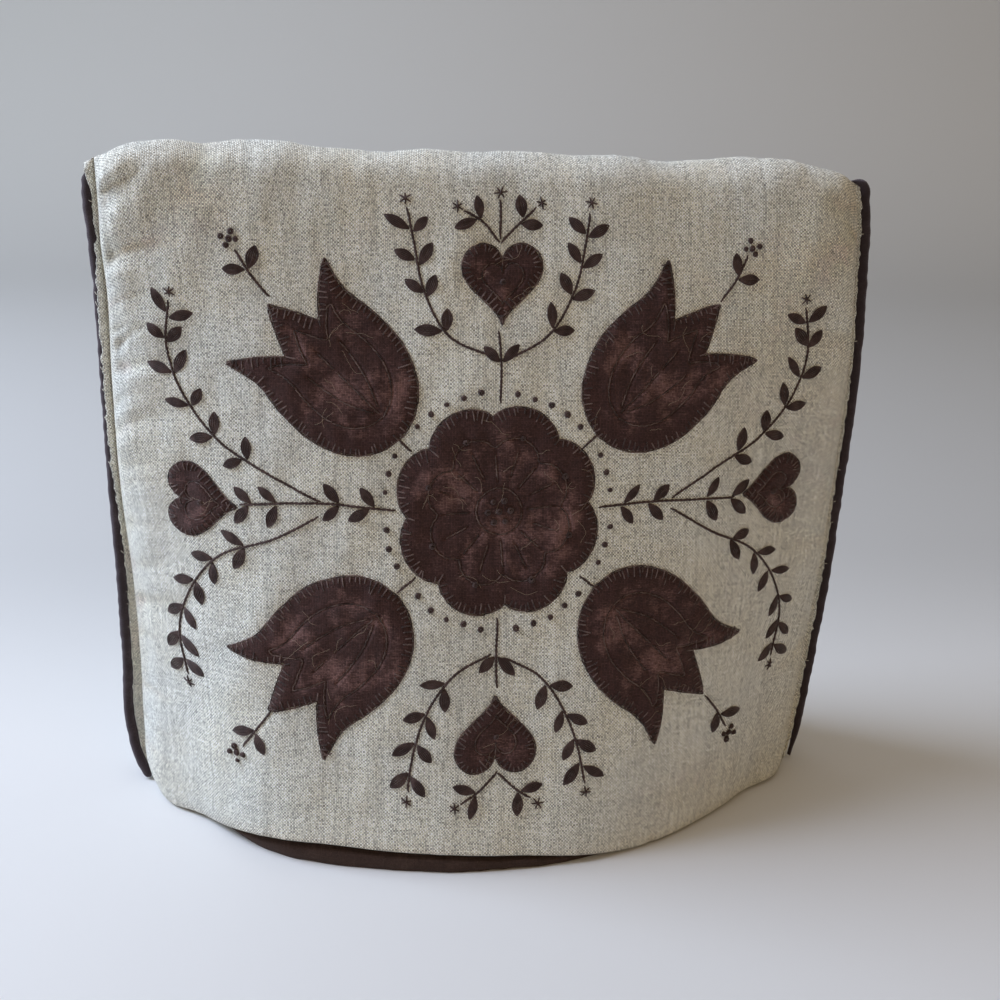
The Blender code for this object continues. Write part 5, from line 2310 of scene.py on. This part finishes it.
@dataclass(frozen=True)
class Cotton:
    """Plain dark cotton cloth, a little worn."""

    name: str
    color: Color
    worn: Color
    threads: float = 2100.0
    wander: float = 0.0012
    unevenness: float = 0.25
    worn_size: float = 60.0
    worn_from: float = 0.48
    worn_over: float = 0.22
    streak_size: float = 420.0
    streak_stretch: Place = (1.0, 3.5, 1.0)
    streak_share: float = 0.35
    sheen: float = 0.10
    tint: Color = (0.75, 0.6, 0.55)
    roughness: float = 0.88
    bump: float = 0.00012
    fuzz: float = 0.00016
    fuzz_size: float = 1500.0
    tone: float = 0.9
    gap_dark: float = 0.45
    contrast: float = 1.0
    edge_keeps: float = 0.0

    def make(self, effects: Effects) -> Material:
        """Builds the material."""
        g = ClothGraph(self.name, self.roughness, self.sheen, self.tint)
        weave = g.effect(
            effects.weave, Place=g.place, Threads=self.threads, Wander=self.wander,
            Unevenness=self.unevenness,
        )
        stretched = g.vector("MULTIPLY", g.place, self.streak_stretch)
        streaks = (g.noise(stretched, self.streak_size, 3.0, 0.6) - 0.5) * self.streak_share
        amount = g.noise(g.place, self.worn_size, 5.0, 0.62) + streaks
        if self.edge_keeps:
            amount = amount - (1.0 - g.stored(MARKS)) * self.edge_keeps
        worn = g.ranged(amount, self.worn_from, self.worn_from + self.worn_over)
        tone = weave["Tone"] * (self.tone * self.contrast) + 1.0
        # Painted shade in the gaps between the threads
        gap = 1.0 - weave["Gap"] * (self.gap_dark * self.contrast)
        color = g.scaled(g.mix(worn, self.color, self.worn), tone * gap)
        nap = g.noise(g.place, self.fuzz_size, 3.0, 0.6)
        return g.finish(color, weave["Height"] + nap * (self.fuzz / self.bump), self.bump)


@dataclass(frozen=True)
class Thread:
    """Twisted embroidery thread."""

    name: str
    color: Color
    light: Color
    sheen: float = 0.15
    roughness: float = 0.62
    bump: float = 0.00010
    varied_size: float = 260.0
    varied_between: Pair = (0.35, 0.68)
    groove_dark: float = 0.45

    def make(self, effects: Effects) -> Material:
        """Builds the material."""
        g = ClothGraph(self.name, self.roughness, self.sheen)
        twist = g.effect(effects.twist, Place=g.place)
        place = g.out("ShaderNodeNewGeometry", {}, "Position")
        varied = g.ranged(g.noise(place, self.varied_size, 3.0, 0.6), *self.varied_between)
        color = g.mix(varied, self.color, self.light)
        # Painted shade in the grooves between the plies
        groove = 1.0 - twist["Groove"] * self.groove_dark
        return g.finish(g.scaled(color, groove), twist["Height"], self.bump)


@dataclass(frozen=True)
class Plain:
    """One even colour."""

    name: str
    color: Color
    roughness: float = 0.8

    def make(self) -> Material:
        """Builds the material."""
        material = bpy.data.materials.new(self.name)
        material.use_nodes = True
        shader = material.node_tree.nodes["Principled BSDF"]
        shader.inputs["Base Color"].default_value = (*self.color, 1)
        shader.inputs["Roughness"].default_value = self.roughness
        return material


class Palette:
    """Every material of the cosy."""

    def __init__(self) -> None:
        """Builds the materials."""
        effects = Effects()
        self.linen = Linen().make(effects)
        self.lining = Cotton(
            "brown_lining_cotton", (0.060, 0.035, 0.027), (0.078, 0.047, 0.037)
        ).make(effects)
        self.piping = Cotton(
            "dark_piping_cotton", (0.036, 0.023, 0.025), (0.060, 0.041, 0.045),
            roughness=0.74, sheen=0.35, tint=(0.85, 0.75, 0.85), threads=2400.0, bump=0.00009,
        ).make(effects)
        self.patch = Cotton(
            "brown_patch_cotton", (0.070, 0.033, 0.030), (0.235, 0.128, 0.117), threads=1500.0,
            worn_size=52.0, worn_from=0.46, sheen=0.22, bump=0.00016, fuzz=0.00030, contrast=1.5,
            edge_keeps=0.16,
        ).make(effects)
        self.thread, self.rubbed_thread, self.pale_thread = (
            Thread(*row).make(effects)
            for row in (
                ("brown_floss", (0.046, 0.024, 0.021), (0.100, 0.060, 0.053)),
                # Its light colour is painted glints on the raised thread, with some dust
                ("dusty_brown_floss_painted_glints", (0.036, 0.019, 0.017), (0.230, 0.155, 0.138), 0.25),
                ("cream_floss", (0.60, 0.56, 0.47), (0.68, 0.65, 0.57)),
            )
        )
        self.lint = Plain("pale_lint", (0.50, 0.38, 0.27), 0.7).make()


@dataclass(frozen=True)
class LampRow:
    """A soft square lamp: where it is, what it points at, its size, power and colour."""

    name: str
    place: Place
    aim: Place
    size: float
    power: float
    color: Color


@dataclass(frozen=True)
class Studio:
    """Pale table and curved backdrop, soft light, and the camera at the photo's angle."""

    lens: float = 46.8
    nearest: float = 0.01
    sensor: float = 36.0
    camera_place: Place = (-0.0627, -0.551, 0.337)
    pitch: float = math.radians(20)
    turn: float = math.radians(7.16)
    bank: float = math.radians(2.18)
    floor_half: float = 3.4
    floor_front: float = -2.2
    bend_from: float = 1.25
    bend_radius: float = 0.9
    wall_top: float = 2.6
    world: Color = (1.0, 0.80, 0.53)
    world_strength: float = 0.20
    paint: Color = (0.80, 0.80, 0.80)
    far_shade_paint: Color = (0.60, 0.60, 0.60)
    far_shade_between: tuple[float, float, float, float] = (0.0, 0.28, 1.10, 1.90)
    table_roughness: float = 0.55
    lamps: tuple[LampRow, ...] = table(
        LampRow,
        ("window", (-1.15, 0.15, 1.10), (0.0, 0.0, 0.10), 0.8, 24.2, (0.71, 0.805, 1.0)),
        ("room", (0.9, -1.5, 1.3), (0.0, 0.0, 0.12), 1.3, 2.6, (1.0, 0.64, 0.36)),
        ("ceiling", (-0.2, 0.15, 2.0), (-0.1, 0.1, 0.0), 1.6, 5.5, (0.90, 0.93, 1.0)),
        ("wall", (-1.9, 0.7, 1.1), (-0.2, 1.4, 0.3), 1.0, 9.4, (0.59, 0.82, 1.0)),
    )

    def build_stage(self) -> None:
        """Makes the table and the backdrop, in one bent sheet."""
        profile = [(self.floor_front, 0.0), (self.bend_from, 0.0)]
        for turn in np.linspace(0, math.pi / 2, 24)[1:]:
            y = self.bend_from + self.bend_radius * math.sin(turn)
            profile.append((y, self.bend_radius * (1 - math.cos(turn))))
        profile.append((profile[-1][0], self.wall_top))
        points = [(x, y, z) for y, z in profile for x in (-self.floor_half, self.floor_half)]
        faces = [(k, k + 1, k + 3, k + 2) for k in range(0, len(points) - 2, 2)]
        mesh = bpy.data.meshes.new("table_and_backdrop")
        mesh.from_pydata(points, [], faces)
        mesh.shade_smooth()
        mesh.materials.append(self.table_material())
        floor = bpy.data.objects.new("table_and_backdrop", mesh)
        bpy.context.scene.collection.objects.link(floor)
        floor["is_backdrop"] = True

    def table_material(self) -> Material:
        """Pale paint, with painted shade that makes it greyer behind the cosy."""
        material = Plain("pale_table", self.paint, self.table_roughness).make()
        graph = Graph(material.node_tree)
        _, y, _ = graph.parts(graph.out("ShaderNodeNewGeometry", {}, "Position"))
        # Painted shade for the lamps' light falling off: greyer from just behind the cosy, fading
        # back to pale up the backdrop
        start, full, ending, end = self.far_shade_between
        fading = graph.ranged(y, ending, end, (1.0, 0.0))
        grey = graph.math("MINIMUM", graph.ranged(y, start, full), fading)
        color = graph.mix(grey, self.paint, self.far_shade_paint)
        shader = graph.tree.nodes["Principled BSDF"]
        graph.tree.links.new(color.socket, shader.inputs["Base Color"])
        return material

    def build_light(self) -> None:
        """Makes the lamps and the room's own light."""
        world = bpy.data.worlds.new("room")
        world.use_nodes = True
        background = world.node_tree.nodes["Background"]
        background.inputs[0].default_value = (*self.world, 1)
        background.inputs[1].default_value = self.world_strength
        bpy.context.scene.world = world
        for row in self.lamps:
            lamp = bpy.data.lights.new(row.name, "AREA")
            lamp.size, lamp.energy, lamp.color = row.size, row.power, row.color
            holder = bpy.data.objects.new(row.name, lamp)
            way = Vector(row.aim) - Vector(row.place)
            holder.location = row.place
            holder.rotation_euler = way.to_track_quat("-Z", "Y").to_euler()
            bpy.context.scene.collection.objects.link(holder)

    def build_camera(self) -> None:
        """Makes the camera where the photo was taken from."""
        level = Vector((math.sin(self.turn), math.cos(self.turn), 0))
        ahead = level * math.cos(self.pitch) - Vector((0, 0, math.sin(self.pitch)))
        right = Vector((level.y, -level.x, 0))
        up = right.cross(ahead)
        rolled = right * math.cos(self.bank) + up * math.sin(self.bank)
        upper = -right * math.sin(self.bank) + up * math.cos(self.bank)
        data = bpy.data.cameras.new("camera")
        data.lens, data.sensor_width = self.lens, self.sensor
        data.clip_start = self.nearest
        camera = bpy.data.objects.new("camera", data)
        turned = Matrix((rolled, upper, -ahead)).transposed().to_4x4()
        camera.matrix_world = Matrix.Translation(self.camera_place) @ turned
        bpy.context.scene.collection.objects.link(camera)
        bpy.context.scene.camera = camera
        bpy.context.scene.view_settings.view_transform = "Standard"

    def build(self) -> None:
        """Makes the whole studio."""
        self.build_stage()
        self.build_light()
        self.build_camera()


class FlatRow(NamedTuple):
    """Flat size of a cut patch, and its area."""

    size: Pair
    area: float


DENT_CELL, GROOVE_CELL = 0.0010, 0.0004


def corners(bounds: tuple) -> list[list[float]]:
    """A box as plain lists."""
    return [[float(value) for value in corner] for corner in bounds]


def main() -> None:
    """Builds the cosy round its frame, piece by piece, and the studio."""
    logging.basicConfig(level=logging.INFO, format="%(name)s: %(message)s")
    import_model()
    frame_box = corners(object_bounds())
    form, palette, stitch_sizes = Form(), Palette(), StitchSizes()
    dents, grooves = DentMap(DENT_CELL), DentMap(GROOVE_CELL)
    patches = [Patch(row, PatchSizes()) for row in PATCHES]
    Needlework.dent(dents, patches, stitch_sizes)
    cover = Cover(form, CoverGrid(), Lip(), dents)
    skin = cover.skins[Face.FRONT]

    linen_cover = cover.build(palette.linen)
    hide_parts("cover")
    lining = Lining(form).build(palette.lining)
    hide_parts("lining")
    for side in Side:
        piping = Piping(form, side).build(palette.piping)
        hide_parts(f"piping_{side.name.lower()}")

    needlework = Needlework(skin, grooves, patches, stitch_sizes)
    needlework.groove_legs()
    cut = [patch.build(skin, grooves, palette.patch) for patch in patches]
    needlework.sew()
    stitches = needlework.build(palette.thread, palette.rubbed_thread)
    lint = Lint().build(patches, skin, grooves, palette.lint)
    seams = SeamStitches(form).build(palette.pale_thread)

    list(stitches)
    Studio().build()
    {"frame": frame_box, "made": corners(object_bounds())}


if __name__ == "__main__":
    main()
